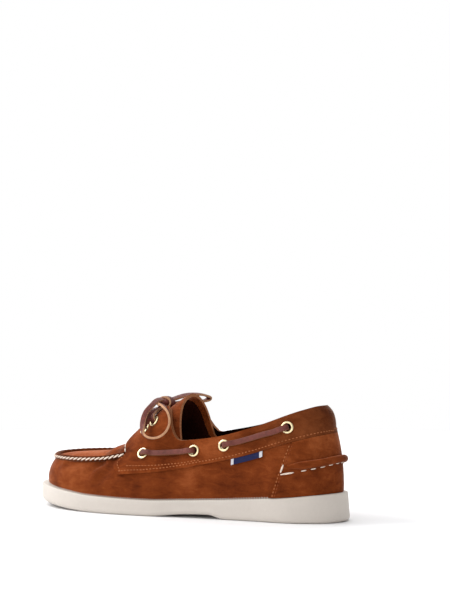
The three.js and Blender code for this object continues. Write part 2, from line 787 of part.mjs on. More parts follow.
// Spot on the band's lower edge where the counter's front edge meets it.
function counterFront() {
  const [, low, high] = counterLine;
  const frontAt = (row) => THREE.MathUtils.mapLinear(
    row.lateral, low.lateral, high.lateral, low.along, high.along);
  return smoothLine(bandLine, 60).find((row) => row.along >= frontAt(row));
}

// Small woven label folded out from under the band, lateral side only.
function sideLabel() {
  const edge = smoothLine(bandLine, 60).filter((row) => row.along > labelFrom && row.along < labelTo);
  const top = moved(edge, underBand);
  const bottom = moved(edge, -labelHeight / instepHeight).reverse();
  return bandSkin.intersect(sidePrism([...top, ...bottom], -reach, 0));
}

const underSeam = solid(form(gap, heelHeight));

// Raised moccasin seam round the apron, a bead on the shoulder line, grown by some room.
function apronSeam(room = 0) {
  const steps = 32;
  const path = Array.from({ length: steps + 1 }, (_, i) => {
    const share = THREE.MathUtils.lerp(seamStart, 1 - seamStart, i / steps);
    const { outward } = outlineAt(share);
    const face = outward.clone().multiplyScalar(0.5).setZ(0.85).normalize();
    return { point: shoulderGuide.getPoint(share).addScaledVector(face, seamLift), face };
  });
  return solid(sweep(lengthened(path, room), roundSection(seamRadius + room, 6)));
}

// Raised rolled seam across the back of the heel, on the counter.
function heelRidge() {
  const steps = 14;
  const path = Array.from({ length: steps + 1 }, (_, i) => {
    const share = THREE.MathUtils.lerp(ridgeEnd, -ridgeEnd, i / steps);
    const height = instepHeight
      * THREE.MathUtils.lerp(ridgeHeightEnd, ridgeHeightBack, Math.cos((share / ridgeEnd) * Math.PI / 2));
    const { point, outward } = outlineAt((share + 1) % 1);
    const from = point.clone().addScaledVector(outward, reach / 3).setZ(height);
    const spot = cast(from, outward.clone().negate());
    return { point: lifted(spot, ridgeLift), face: spot.normal };
  });
  const bead = solid(sweep(path, roundSection(ridgeRadius, 6)));
  return bead.subtract(solid(form(eyeletSeat, heelHeight)));
}

// Colours and finish of the pieces
const suede = { color: 0x84401e, roughness: 0.95, metalness: 0 };
const rubber = { color: 0xdcd4ca, roughness: 0.6, metalness: 0 };
const lining = { color: 0x2a120a, roughness: 0.8, metalness: 0 };
const rawhide = { color: 0x6b3228, roughness: 0.5, metalness: 0 };
const paleBrass = { color: 0xe8d9a4, roughness: 0.3, metalness: 1 };
const navy = { color: 0x2b2f62, roughness: 0.9, metalness: 0 };

function piece(name, geometry, finish) {
  const mesh = new THREE.Mesh(geometry, new THREE.MeshStandardMaterial(finish));
  mesh.name = name;
  return mesh;
}

const shoe = new THREE.Group();
shoe.add(piece("outsole", outsole(), rubber));
shoe.add(piece("insole", insole(), lining));
shoe.add(piece("upper", geometryFrom(upper()), suede));
shoe.add(piece("tongue", geometryFrom(tongue()), suede));
shoe.add(piece("collar_band", geometryFrom(collarBand()), suede));
shoe.add(piece("heel_counter", geometryFrom(heelCounter()), suede));
shoe.add(piece("apron_seam", geometryFrom(apronSeam().subtract(underSeam)), suede));
shoe.add(piece("heel_ridge", geometryFrom(heelRidge()), suede));
shoe.add(piece("side_label", geometryFrom(sideLabel()), navy));
for (const { name, spot } of eyelets) shoe.add(piece(name, eyelet(spot), paleBrass));
for (const side of ["lateral", "medial"]) {
  shoe.add(piece(`lace_${side}_front`, sideBar(side, 1, 2), rawhide));
  shoe.add(piece(`lace_${side}_rear`, sideBar(side, 3, 4), rawhide));
}
shoe.add(piece("lace_crossing", laceCrossing(), rawhide));

// The origin is the middle of the box of what is fixed on the shoe, on the floor.
const box = new THREE.Box3().setFromObject(shoe);
shoe.position.set(-(box.min.x + box.max.x) / 2, -(box.min.y + box.max.y) / 2, -box.min.z);

// Free parts of the lace
shoe.add(piece("lace_knot", geometryFrom(laceKnot()), rawhide));
for (const { name, rows } of freeLaces) shoe.add(piece(name, freeLace(rows), rawhide));

export default shoe;
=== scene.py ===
"""Looks of a left boat shoe in rust suede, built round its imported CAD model."""

import functools
import math

import bmesh
import bpy
from bpy.props import FloatProperty, FloatVectorProperty, PointerProperty
from mathutils import Matrix, Vector
from mathutils.bvhtree import BVHTree


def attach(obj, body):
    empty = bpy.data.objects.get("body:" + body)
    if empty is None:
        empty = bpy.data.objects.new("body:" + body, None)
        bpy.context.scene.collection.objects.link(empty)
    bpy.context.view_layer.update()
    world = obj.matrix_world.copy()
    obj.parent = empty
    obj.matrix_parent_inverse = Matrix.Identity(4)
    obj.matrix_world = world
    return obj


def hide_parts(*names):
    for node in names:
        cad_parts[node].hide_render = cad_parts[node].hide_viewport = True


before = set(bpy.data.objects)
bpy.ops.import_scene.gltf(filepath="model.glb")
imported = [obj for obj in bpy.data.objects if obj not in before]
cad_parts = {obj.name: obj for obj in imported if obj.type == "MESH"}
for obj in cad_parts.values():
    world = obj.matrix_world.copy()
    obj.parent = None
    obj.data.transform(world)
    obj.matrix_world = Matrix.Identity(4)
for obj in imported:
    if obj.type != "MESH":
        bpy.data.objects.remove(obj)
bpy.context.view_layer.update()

bl_info = {
    "name": "Suede boat shoe",
    "version": (1, 0, 0),
    "blender": (4, 5, 0),
    "location": "View3D > Sidebar > Shoe",
    "description": "Makes the finished pieces of a laced suede boat shoe",
    "category": "Object",
}

MM = 0.001
UP = Vector((0, 0, 1))

# Each side's column in the side-view tables, and its sign across the shoe
COLUMN = {"lateral": 1, "medial": 2}
SIDE_SIGN = {"lateral": -1, "medial": 1}

# The shoe's rows stand this far to the lateral side of the frame's middle.
ROW_SHIFT = Vector((1.66 * MM, 0, 0))

# Heel back to toe tip. Shares of the sizes, with ledge, flare and belly in millimetres.
STATION_COLUMNS = (
    "along", "lateral", "medial", "ledge", "flare", "belly",
    "shoulder_along", "shoulder_lateral", "shoulder_medial", "height_lateral", "height_medial",
    "crown_along", "crown_shift", "crown_height", "rise",
)
STATION_ROWS = (
    (0.000, 0.000, 0.000, 6.8, 1.4, 2.0, 0.0475, 0.000, 0.000, 0.750, 0.750, 0.171, 0.000, 1.09, 1.0),
    (0.030, 0.192, 0.192, 6.0, 1.4, 2.0, 0.069, 0.170, 0.170, 0.745, 0.755, 0.181, 0.000, 1.09, 1.0),
    (0.115, 0.327, 0.327, 3.4, 1.6, 1.6, 0.127, 0.276, 0.276, 0.730, 0.750, 0.205, 0.000, 1.10, 1.0),
    (0.250, 0.361, 0.341, 2.5, 1.5, 1.5, 0.248, 0.308, 0.298, 0.680, 0.720, 0.279, 0.000, 1.12, 1.0),
    (0.400, 0.413, 0.332, 2.0, 0.8, 2.0, 0.393, 0.341, 0.308, 0.610, 0.660, 0.399, 0.005, 1.13, 0.9),
    (0.475, 0.450, 0.365, 2.0, 0.4, 2.2, 0.473, 0.352, 0.322, 0.570, 0.610, 0.480, 0.008, 1.04, 0.8),
    (0.550, 0.490, 0.404, 2.0, 0.2, 2.8, 0.550, 0.385, 0.360, 0.520, 0.560, 0.550, 0.010, 0.91, 0.6),
    (0.650, 0.519, 0.471, 2.0, 0.0, 3.6, 0.634, 0.375, 0.360, 0.483, 0.515, 0.638, 0.010, 0.70, 0.3),
    (0.705, 0.516, 0.486, 2.0, 0.0, 4.0, 0.691, 0.378, 0.374, 0.450, 0.478, 0.695, 0.010, 0.55, 0.2),
    (0.785, 0.490, 0.481, 2.2, 0.0, 4.2, 0.768, 0.365, 0.375, 0.431, 0.453, 0.762, 0.012, 0.490, 0.2),
    (0.885, 0.394, 0.414, 3.5, 0.0, 4.0, 0.856, 0.303, 0.337, 0.428, 0.445, 0.826, 0.020, 0.472, 0.2),
    (0.963, 0.212, 0.269, 6.0, 0.0, 3.2, 0.919, 0.173, 0.231, 0.430, 0.440, 0.869, 0.030, 0.462, 0.2),
    (1.000, -0.038, 0.038, 7.0, 0.0, 3.0, 0.950, -0.038, 0.038, 0.434, 0.436, 0.889, 0.038, 0.457, 0.2),
)

# Along, top and underside of the sole, as shares of the heel's height.
SOLE_ROWS = (
    (0.000, 1.050, 0.030),
    (0.040, 1.010, 0.000),
    (0.141, 0.885, 0.000),
    (0.312, 0.722, 0.000),
    (0.360, 0.685, 0.142),
    (0.435, 0.640, 0.115),
    (0.535, 0.585, 0.000),
    (0.708, 0.628, 0.000),
    (0.802, 0.715, 0.049),
    (0.880, 0.800, 0.128),
    (0.953, 0.865, 0.204),
    (1.000, 0.885, 0.265),
)

# Side-view lines: along, lateral height, medial height.
COLLAR_LINE = (
    (-0.070, 0.890, 0.890),
    (0.046, 0.906, 0.906),
    (0.066, 0.930, 0.930),
    (0.094, 0.903, 0.915),
    (0.205, 0.780, 0.825),
    (0.329, 0.675, 0.730),
    (0.419, 0.636, 0.680),
    (0.453, 0.630, 0.665),
    (0.470, 0.660, 0.695),
    (0.487, 0.735, 0.765),
    (0.507, 0.845, 0.865),
    (0.530, 0.920, 0.935),
    (0.574, 1.030, 1.030),
)
BAND_LINE = (
    (-0.070, 0.720, 0.720),
    (0.030, 0.710, 0.720),
    (0.114, 0.650, 0.675),
    (0.258, 0.520, 0.555),
    (0.379, 0.440, 0.470),
    (0.507, 0.370, 0.395),
    (0.638, 0.330, 0.350),
)
WING_FRONT = (
    (0.640, 0.345, 0.365),
    (0.654, 0.410, 0.430),
    (0.642, 0.470, 0.495),
    (0.630, 0.510, 0.535),
    (0.641, 0.545, 0.570),
    (0.649, 0.580, 0.600),
    (0.648, 0.620, 0.640),
    (0.636, 0.680, 0.695),
    (0.601, 0.840, 0.840),
    (0.581, 1.120, 1.120),
)
COUNTER_LINE = (
    (0.179, 0.100, 0.100),
    (0.177, 0.190, 0.190),
    (0.119, 0.700, 0.725),
)
TONGUE_LINE = (
    (0.456, 0.600, 0.590),
    (0.461, 0.660, 0.610),
    (0.470, 0.770, 0.640),
    (0.477, 0.850, 0.720),
    (0.482, 0.900, 0.880),
    (0.490, 1.050, 1.120),
    (0.502, 1.120, 1.120),
    (0.735, 1.120, 1.120),
    (0.681, 0.620, 0.620),
    (0.674, 0.490, 0.510),
    (0.601, 0.530, 0.560),
)
SIDE_EYELETS = (
    (0.565, 0.504, 0.534),
    (0.405, 0.545, 0.580),
    (0.314, 0.597, 0.637),
    (0.131, 0.760, 0.785),
)
THROAT_EYELETS = (
    (0.584, 0.695, 0.710),
    (0.554, 0.762, 0.780),
)
LABEL_FROM = 0.196
LABEL_TO = 0.294
LABEL_END = 0.012
LABEL_DROP = 0.05
THROAT_WIDTH = 39 * MM
THROAT_FRONT = 0.638
THROAT_BOTTOM = 0.5
WINGS_FRONT = 0.701
SEAM_START = 0.291
SEAM_PITCH = 4.9 * MM

# Section of the moccasin seam in mm, inner side to outer side: turned-up rim, groove, sewn edge
SEAM_SECTION = (
    (2.1, -1.6), (2.4, 0.0), (2.1, 1.5), (1.4, 2.3), (0.5, 2.4), (-0.1, 1.9), (-0.45, 1.2),
    (-0.9, 1.1), (-1.3, 1.6), (-2.0, 1.6), (-2.5, 0.9), (-2.5, -0.2), (-1.9, -1.5), (0.0, -2.2),
)

# Where the rolled seam of the heel ends round the outline, and its height there and at the back
HEEL_ROLL_END = 0.086
RIDGE_HEIGHT_END = 0.45
RIDGE_HEIGHT_BACK = 0.50

# Free parts of the lace: shares of ball width, sole length and instep height, then the
# way that the lace's face looks.
LOOP_LATERAL = (
    (-0.0490, 0.5738, 0.950, 0.03, -0.42, 0.91),
    (-0.1364, 0.5754, 0.943, -0.50, -0.40, 0.77),
    (-0.2341, 0.5744, 0.899, -0.80, -0.33, 0.50),
    (-0.3054, 0.5767, 0.847, -0.92, -0.28, 0.28),
    (-0.3576, 0.5744, 0.780, -0.95, -0.25, -0.05),
    (-0.3879, 0.5692, 0.715, -0.87, 0.05, -0.42),
    (-0.4085, 0.5584, 0.664, -0.61, 0.29, -0.74),
    (-0.4122, 0.5379, 0.643, -0.21, 0.16, -0.96),
    (-0.4034, 0.5132, 0.653, 0.11, -0.18, -0.98),
    (-0.3920, 0.4936, 0.693, 0.33, -0.56, -0.76),
    (-0.3682, 0.4863, 0.755, 0.49, -0.82, -0.31),
    (-0.3248, 0.4969, 0.835, 0.48, -0.79, 0.37),
    (-0.2477, 0.5303, 0.898, 0.15, -0.53, 0.84),
    (-0.0962, 0.5815, 0.913, -0.10, -0.21, 0.97),
)
LOOP_MEDIAL = (
    (0.0433, 0.5638, 0.946, 0.00, -0.30, 1.00),
    (0.1827, 0.5470, 0.978, 0.00, -0.40, 0.90),
    (0.2885, 0.5302, 0.984, 0.20, -0.30, 0.90),
    (0.3750, 0.5185, 0.970, 0.50, -0.30, 0.80),
    (0.4231, 0.5151, 0.946, 0.95, -0.10, 0.10),
    (0.3894, 0.5235, 0.924, 0.40, 0.00, -0.90),
    (0.2981, 0.5352, 0.926, -0.10, 0.20, -1.00),
    (0.2019, 0.5487, 0.924, -0.20, 0.20, -1.00),
    (0.0529, 0.5688, 0.912, -0.20, 0.10, -1.00),
)
END_LATERAL = (
    (-0.0865, 0.5654, 0.881, -0.20, 0.00, 0.90),
    (-0.1887, 0.5728, 0.865, -0.60, 0.00, 0.80),
    (-0.2656, 0.5745, 0.820, -0.60, -0.60, 0.50),
    (-0.3233, 0.5745, 0.768, -0.48, -0.85, 0.20),
    (-0.3548, 0.5715, 0.720, -0.45, -0.88, 0.15),
)
END_MEDIAL = (
    (0.0433, 0.5856, 0.898, 0.3, 0.2, 0.9),
    (0.1827, 0.5906, 0.885, 0.6, 0.2, 0.8),
    (0.2837, 0.5940, 0.845, 0.85, 0.2, 0.5),
    (0.3462, 0.5956, 0.765, 0.95, 0.1, 0.2),
    (0.3798, 0.5940, 0.685, 0.95, 0.1, 0.2),
)
KNOT = (-0.024, 0.572, 0.92)
KNOT_RADII = (2.4, 1.65, 1.15)
KNOT_CORE = 0.72
FREE_LACE = {
    "loop_lateral": LOOP_LATERAL,
    "loop_medial": LOOP_MEDIAL,
    "end_lateral": END_LATERAL,
    "end_medial": END_MEDIAL,
}

# How far the side bars hang, as a factor on the share of the way
BAR_SAG = 0.032
LACE_CORNER = 0.4 * MM

# Rings of the sole, under to over: shares of the ledge and the flare and mm that they stand in,
# None well inside, then the part of the way up the side and a lift in mm
SOLE_RINGS = (
    (0, 0, None, 0, 0), (0, 0, 5, 0, 0), (0, 0, 3, 0, 0), (0, 0, 1.5, 0, 0.35), (0, 0, 0.4, 0, 1.4),
    (0, 0, 0, 0, 3), (0, 0.30, 0, 0.30, 0), (0, 0.62, 0, 0.62, 0), (0, 1, 0, 1, -1.0),
    (0, 1, 0.25, 1, -0.35), (0, 1, 0.9, 1, 0), (1, 0, 3, 1, 0), (0, 0, None, 1, 0),
)

# Slits of the tread: first and last share of the length, and how many there are
SIPE_ROWS = ((0.05, 0.29, 12), (0.56, 0.90, 17))
SIPE_MARGIN = 10 * MM
SIPE_SHORTEST = 20 * MM
SIPE_WAVE_LENGTH = 9 * MM
SIPE_WAVE = 1.3 * MM
SIPE_HALF = 0.35 * MM
SIPE_DEPTH = 1.8 * MM

# Section of an eyelet in mm, barrel to flange: distance from its axis and height over its seat
EYELET_SECTION = (
    (3.0, -3.6), (3.55, -3.6), (3.6, 0.0), (4.75, 0.0), (5.0, 0.22), (4.95, 0.55),
    (4.55, 0.88), (3.95, 1.0), (3.35, 0.85), (2.95, 0.45), (2.8, -0.3),
)

# Rows of stitches over the band's lower edge: lift, growth of the lift, rear and front share
BAND_ROWS = (
    ("low", 0.023, 0.0, -1.0, 0.630),
    ("high", 0.036, 0.105, 0.383, 0.612),
)

# Half width of a cut across the shoe, and the radius and depth of an eyelet's bore
CUT_REACH = 0.09
BORE_RADIUS = 4 * MM
BORE_DEPTH = 12 * MM

# Lamps of the studio: name, place, size and power
LAMPS = (
    ("key", (-0.45, 1.2, 1.15), 1.1, 23.0),
    ("fill", (-1.4, 0.1, 0.35), 1.4, 9.0),
    ("back", (1.1, 0.6, 1.4), 1.2, 10.0),
)
LAMP_TARGET = Vector((0, 0, 0.05))
BRIGHT_WAY = (0.82, 0.49, 0.30)
FLOOR_RADIUS = 1.1
CAMERA_PLACE = (-1.0286, -0.618, 0.146)
CAMERA_LENS = 83.9
CAMERA_AHEAD = Vector((0.857, 0.515, 0)).normalized()
CAMERA_RIGHT = Vector((0.515, -0.857, 0)).normalized()
CAMERA_YAW = math.radians(1.54)
CAMERA_PITCH = math.radians(1.64)

# How far the padded collar rolls in at the back
COLLAR_ROLL = 2.2 * MM

# Soft creases: side, along and height of both ends, half width and depth in millimetres.
CREASES = (
    ("lateral", 0.700, 0.405, 0.830, 0.395, 4.0, 1.2),
    ("lateral", 0.664, 0.430, 0.690, 0.300, 4.5, 1.2),
    ("lateral", 0.706, 0.425, 0.735, 0.330, 4.0, 0.9),
    ("lateral", 0.700, 0.520, 0.712, 0.570, 5.0, -1.7),
    ("medial", 0.700, 0.520, 0.712, 0.570, 5.0, -1.7),
    ("lateral", 0.615, 0.580, 0.640, 0.480, 6.0, 0.5),
    ("lateral", 0.640, 0.335, 0.700, 0.300, 5.0, 0.7),
    ("lateral", 0.560, 0.300, 0.610, 0.215, 6.0, 0.5),
    ("lateral", 0.300, 0.400, 0.360, 0.230, 9.0, 0.6),
    ("lateral", 0.440, 0.330, 0.470, 0.200, 8.0, 0.5),
    ("lateral", 0.200, 0.520, 0.215, 0.300, 8.0, 0.5),
    ("lateral", 0.720, 0.400, 0.760, 0.260, 6.0, 0.5),
    ("lateral", 0.860, 0.380, 0.875, 0.270, 6.0, 0.4),
    ("medial", 0.620, 0.360, 0.700, 0.300, 6.0, 0.6),
    ("medial", 0.420, 0.350, 0.460, 0.220, 8.0, 0.6),
    ("medial", 0.260, 0.430, 0.300, 0.260, 9.0, 0.6),
    ("medial", 0.780, 0.400, 0.800, 0.260, 6.0, 0.5),
)


def length(name, description, value):
    return FloatProperty(name=name, description=description, default=value, unit="LENGTH",
                         precision=4)


class ShoeSizes(bpy.types.PropertyGroup):
    sole_length: length("Sole length", "Length of the sole", 0.298)
    ball_width: length("Ball width", "Width that the outline's shares are of", 0.104)
    heel_height: length("Heel height", "Height of the sole at the heel", 0.0226)
    instep_height: length("Instep height", "Height that the upper's shares are of", 0.1)
    gap: length("Gap", "Clearance between stacked leathers", 0.0003)
    wall: length("Upper leather", "Thickness of the upper's leather", 0.002)
    overlay: length("Overlay leather", "Thickness of the band and the counter", 0.0014)
    tongue: length("Tongue leather", "Thickness of the padded tongue", 0.0026)
    insole: length("Insole", "Thickness of the insole", 0.0035)
    fine_thread: length("Fine thread", "Radius of the brown machine thread", 0.0005)
    lace_width: length("Lace width", "Width of the rawhide lace", 0.0046)
    lace_thickness: length("Lace thickness", "Thickness of the rawhide lace", 0.0020)


def colour(name, description, value):
    return FloatVectorProperty(name=name, description=description, subtype="COLOR",
                               size=3, min=0, max=1, default=value)


class ShoeColours(bpy.types.PropertyGroup):
    suede: colour("Suede", "Main colour of the suede", (0.168, 0.0350, 0.0072))
    suede_shade: colour("Suede shade", "Darker nap", (0.070, 0.0120, 0.0023))
    suede_light: colour("Suede light", "Lighter nap", (0.32, 0.086, 0.025))
    raw_edge: colour("Raw edge", "Cut edges of the leathers", (0.32, 0.12, 0.047))
    lace_edge: colour("Lace edge", "Cut edges of the lace", (0.50, 0.27, 0.15))
    lining: colour("Lining", "Leather inside the shoe", (0.008, 0.0018, 0.0010))
    rawhide: colour("Rawhide", "Face of the lace", (0.135, 0.030, 0.020))
    rubber: colour("Sole", "Off-white rubber", (0.55, 0.50, 0.45))
    brass: colour("Eyelets", "Pale brass", (0.90, 0.76, 0.46))
    cream_thread: colour("Cream thread", "Hand-sewn thread", (0.86, 0.72, 0.60))
    brown_thread: colour("Brown thread", "Machine thread", (0.42, 0.135, 0.045))
    label: colour("Label", "Woven label", (0.017, 0.020, 0.070))
    label_ends: colour("Label ends", "White ends of the label", (0.62, 0.62, 0.66))


def centripetal(points, closed=False):
    """Centripetal Catmull-Rom curve through the points, as a function of 0 to 1."""
    count = len(points)

    def at(t):
        place = (count if closed else count - 1) * t
        i = math.floor(place)
        w = place - i
        if closed:
            i %= count
            near = [points[(i + k) % count] for k in (-1, 0, 1, 2)]
        else:
            if i >= count - 1:
                i, w = count - 2, 1.0
            before = points[i - 1] if i > 0 else 2 * points[0] - points[1]
            after = points[i + 2] if i + 2 < count else 2 * points[-1] - points[-2]
            near = [before, points[i], points[i + 1], after]
        steps = [math.sqrt((b - a).length) for a, b in zip(near, near[1:])]
        if steps[1] < 1e-6:
            steps[1] = 1.0
        steps[0] = steps[0] if steps[0] > 1e-6 else steps[1]
        steps[2] = steps[2] if steps[2] > 1e-6 else steps[1]
        d0, d1, d2 = steps
        p0, p1, p2, p3 = near
        m1 = d1 * ((p1 - p0) / d0 - (p2 - p0) / (d0 + d1) + (p2 - p1) / d1)
        m2 = d1 * ((p2 - p1) / d1 - (p3 - p1) / (d1 + d2) + (p3 - p2) / d2)
        return (p1 + m1 * w + (-3 * p1 + 3 * p2 - 2 * m1 - m2) * w ** 2
                + (2 * p1 - 2 * p2 + m1 + m2) * w ** 3)

    return at


def height_profile(xs, ys):
    """Smooth curve through heights that never passes its own highest and lowest rows."""
    secants = [(ys[i + 1] - ys[i]) / (xs[i + 1] - xs[i]) for i in range(len(xs) - 1)]
    slopes = [secants[0]]
    for before, after in zip(secants, secants[1:]):
        slopes.append(0.0 if before * after <= 0 else 2 * before * after / (before + after))
    slopes.append(secants[-1])

    def at(y):
        i = max(0, min(len(xs) - 2, sum(x <= y for x in xs) - 1))
        width = xs[i + 1] - xs[i]
        t = min(max((y - xs[i]) / width, 0), 1)
        return ((2 * t ** 3 - 3 * t ** 2 + 1) * ys[i] + (t ** 3 - 2 * t ** 2 + t) * width * slopes[i]
                + (3 * t ** 2 - 2 * t ** 3) * ys[i + 1] + (t ** 3 - t ** 2) * width * slopes[i + 1])

    return at


class Last:
    """The form that the shoe is built round: guide lines and surfaces at any offset."""

    def __init__(self, sizes):
        self.sizes = sizes
        rows = [dict(zip(STATION_COLUMNS, row)) for row in STATION_ROWS]
        width, height = sizes.ball_width, sizes.instep_height

        def ring(pick):
            there = [pick(row, "lateral") for row in rows]
            back = [pick(row, "medial") for row in rows[-2:0:-1]]
            return centripetal(there + back, closed=True)

        self.outline = ring(lambda row, side: Vector(
            (SIDE_SIGN[side] * row[side] * width, self.y(row["along"]), 0)))
        self.trim = ring(lambda row, side: Vector((row["ledge"], row["flare"], row["belly"])) * MM)
        self.shoulder = ring(lambda row, side: Vector((
            SIDE_SIGN[side] * row[f"shoulder_{side}"] * width,
            self.y(row["shoulder_along"]), row[f"height_{side}"] * height)))
        self.rise = ring(lambda row, side: Vector((row["rise"], row["along"], 0)))
        self.crown = centripetal([Vector((
            row["crown_shift"] * width, self.y(row["crown_along"]), row["crown_height"] * height))
            for row in rows])
        xs = [self.y(row[0]) for row in SOLE_ROWS]
        self.sole_top = height_profile(xs, [row[1] * sizes.heel_height for row in SOLE_ROWS])
        self.sole_bottom = height_profile(xs, [row[2] * sizes.heel_height for row in SOLE_ROWS])
        self.trees = {}

    def y(self, share):
        return (share - 0.5) * self.sizes.sole_length

    def outward(self, share):
        step = 1e-3
        along = self.outline((share + step) % 1) - self.outline((share - step) % 1)
        return Vector((-along.y, along.x, 0)).normalized()

    def rib(self, share, side_rows, top_rows):
        """Points from the feather line over the shoulder to the crown, and how far each is up."""
        point, outward, trim = self.outline(share), self.outward(share), self.trim(share)
        foot = point - outward * trim.x
        foot.z = self.sole_top(foot.y) + self.sizes.gap
        shoulder, rise = self.shoulder(share), self.rise(share).x
        crown = self.crown(2 * min(share, 1 - share))
        belly = (foot + shoulder) / 2 + outward * 2 * trim.z
        upright = shoulder + Vector((0, 0, 0.55 * (crown.z - shoulder.z)))
        level = crown.lerp(shoulder, 0.55)
        level.z = crown.z
        leave = shoulder.lerp(crown, 1 / 3).lerp(upright, rise)
        line = []
        for i in range(side_rows):
            t = i / side_rows
            line.append((1 - t) ** 2 * foot + 2 * t * (1 - t) * belly + t ** 2 * shoulder)
        for i in range(top_rows + 1):
            t = i / top_rows
            line.append((1 - t) ** 3 * shoulder + 3 * t * (1 - t) ** 2 * leave
                        + 3 * t ** 2 * (1 - t) * level + t ** 3 * crown)
        for place in line:
            high = (place.z / self.sizes.instep_height - 0.85) / 0.07
            rear = (self.y(0.165) - place.y) / (self.y(0.165) - self.y(0.09))
            if high > 0 and rear > 0:
                place -= outward * min(high * high, 2.0) * min(rear, 1.0) * COLLAR_ROLL
        return line

    def crease(self, point):
        """How far the leather sinks or swells at a point of the form."""
        depth = 0.0
        for side, along_a, high_a, along_b, high_b, half, deep in CREASES:
            if point.x * SIDE_SIGN[side] < 0:
                continue
            a = Vector((self.y(along_a), high_a * self.sizes.instep_height))
            b = Vector((self.y(along_b), high_b * self.sizes.instep_height))
            here = Vector((point.y, point.z))
            t = max(0.0, min(1.0, (here - a).dot(b - a) / (b - a).length_squared))
            far = (here - a.lerp(b, t)).length / (half * MM)
            if far < 3:
                trough = math.exp(-far * far)
                ridge = 0.45 * math.exp(-((far - 1.7) ** 2) * 1.6)
                depth -= deep * MM * (trough - ridge)
        return depth

    def shell(self, columns, side_rows, top_rows, offset):
        """Open surface of the form, feather line to crown, grown outwards by an offset."""
        bm = bmesh.new()
        rows = side_rows + top_rows
        ribs = {}
        for vert, column, row in grid(bm, columns, rows):
            if column not in ribs:
                ribs[column] = self.rib(column / columns % 1, side_rows, top_rows)
            vert.co = ribs[column][row]
        bmesh.ops.remove_doubles(bm, verts=bm.verts, dist=0.00002)
        bmesh.ops.recalc_face_normals(bm, faces=bm.faces)
        bm.normal_update()
        if sum(face.normal.z * face.calc_area() for face in bm.faces) < 0:
            bmesh.ops.reverse_faces(bm, faces=bm.faces)
            bm.normal_update()
        normals = {vert: vert.normal.copy() for vert in bm.verts}
        for vert in bm.verts:
            out = normals[vert]
            if vert.is_boundary:
                out = Vector((out.x, out.y, 0)).normalized()
            vert.co += out * (offset + self.crease(vert.co)) + ROW_SHIFT
        bm.normal_update()
        return bm

    def tree(self, offset):
        """The form's surface at an offset, as a target for lines of sight."""
        key = round(offset, 6)
        if key not in self.trees:
            bm = self.shell(208, 16, 20, offset)
            self.trees[key] = BVHTree.FromBMesh(bm)
            bm.free()
        return self.trees[key]

    def spot(self, side, along, height, offset):
        """Place and normal on a side of the form, seen straight from that side."""
        sign = SIDE_SIGN[side]
        start = Vector((sign * 0.2, self.y(along), height * self.sizes.instep_height))
        place, normal, _, _ = self.tree(offset).ray_cast(start, Vector((-sign, 0, 0)))
        if place is None:
            raise RuntimeError(f"no surface at {side} {along} {height}")
        return place, normal

    def ring_spot(self, share, height_of, offset, rows=40):
        """Place and normal where one rib crosses a side-view line, all round the shoe."""
        line = self.rib(share % 1, rows, rows)
        side = 0 if share % 1 < 0.5 else 1
        under = None
        for point in line:
            want = height_of((point.y / self.sizes.sole_length) + 0.5)[side]
            over = point.z - want * self.sizes.instep_height
            if under is not None and under[1] < 0 <= over:
                t = -under[1] / (over - under[1])
                guess = under[0].lerp(point, t) + ROW_SHIFT
                place, normal, _, _ = self.tree(offset).find_nearest(guess)
                return place, normal
            under = (point, over)
        raise RuntimeError(f"line misses the rib at {share}")


def smooth_rows(rows, steps):
    """Smooth side-view line through a table's rows."""
    curve = centripetal([Vector(row) for row in rows])
    return [tuple(curve(i / steps)) for i in range(steps + 1)]


def line_height(rows, steps=80):
    """Heights of a side-view line on both sides at a share of the length."""
    line = smooth_rows(rows, steps)

    def at(along):
        for a, b in zip(line, line[1:]):
            if a[0] <= along <= b[0]:
                t = (along - a[0]) / max(b[0] - a[0], 1e-9)
                return (a[1] + t * (b[1] - a[1]), a[2] + t * (b[2] - a[2]))
        end = line[0] if along < line[0][0] else line[-1]
        return (end[1], end[2])

    return at


def above(rows):
    """Closed side-view region over a line."""
    high = 1.8
    return [*rows, (rows[-1][0], high, high), (rows[0][0], high, high)]


def moved(rows, by):
    return [(along, lateral + by, medial + by) for along, lateral, medial in rows]


def side_cutter(last, rows, edge, low=-CUT_REACH, high=CUT_REACH):
    """Closed prism across the shoe from a side-view region, its heights blended over the middle."""
    blend = 15 * MM
    places = [low, *[x for x in (-blend, blend) if low < x < high], high]
    bm = bmesh.new()
    number = bm.verts.layers.int.new("row")

    def put(vert, x):
        along, lateral, medial = rows[vert[number]]
        height = lateral if x < 0 or high <= 0 else medial
        vert.co = Vector((x, last.y(along), height * last.sizes.instep_height)) + ROW_SHIFT

    corners = []
    for i in range(len(rows)):
        vert = bm.verts.new()
        vert[number] = i
        put(vert, low)
        corners.append(vert)
    face = bm.faces.new(corners)
    for x in places[1:]:
        grown = bmesh.ops.extrude_face_region(bm, geom=[face])["geom"]
        for vert in (item for item in grown if isinstance(item, bmesh.types.BMVert)):
            put(vert, x)
        inner = face if x != places[1] else None
        face = next(item for item in grown if isinstance(item, bmesh.types.BMFace))
        if inner is not None and inner.is_valid:
            bmesh.ops.delete(bm, geom=[inner], context="FACES_ONLY")
    bmesh.ops.triangulate(bm, faces=bm.faces)
    bmesh.ops.recalc_face_normals(bm, faces=bm.faces)
    return helper("side cutter", bm, edge)


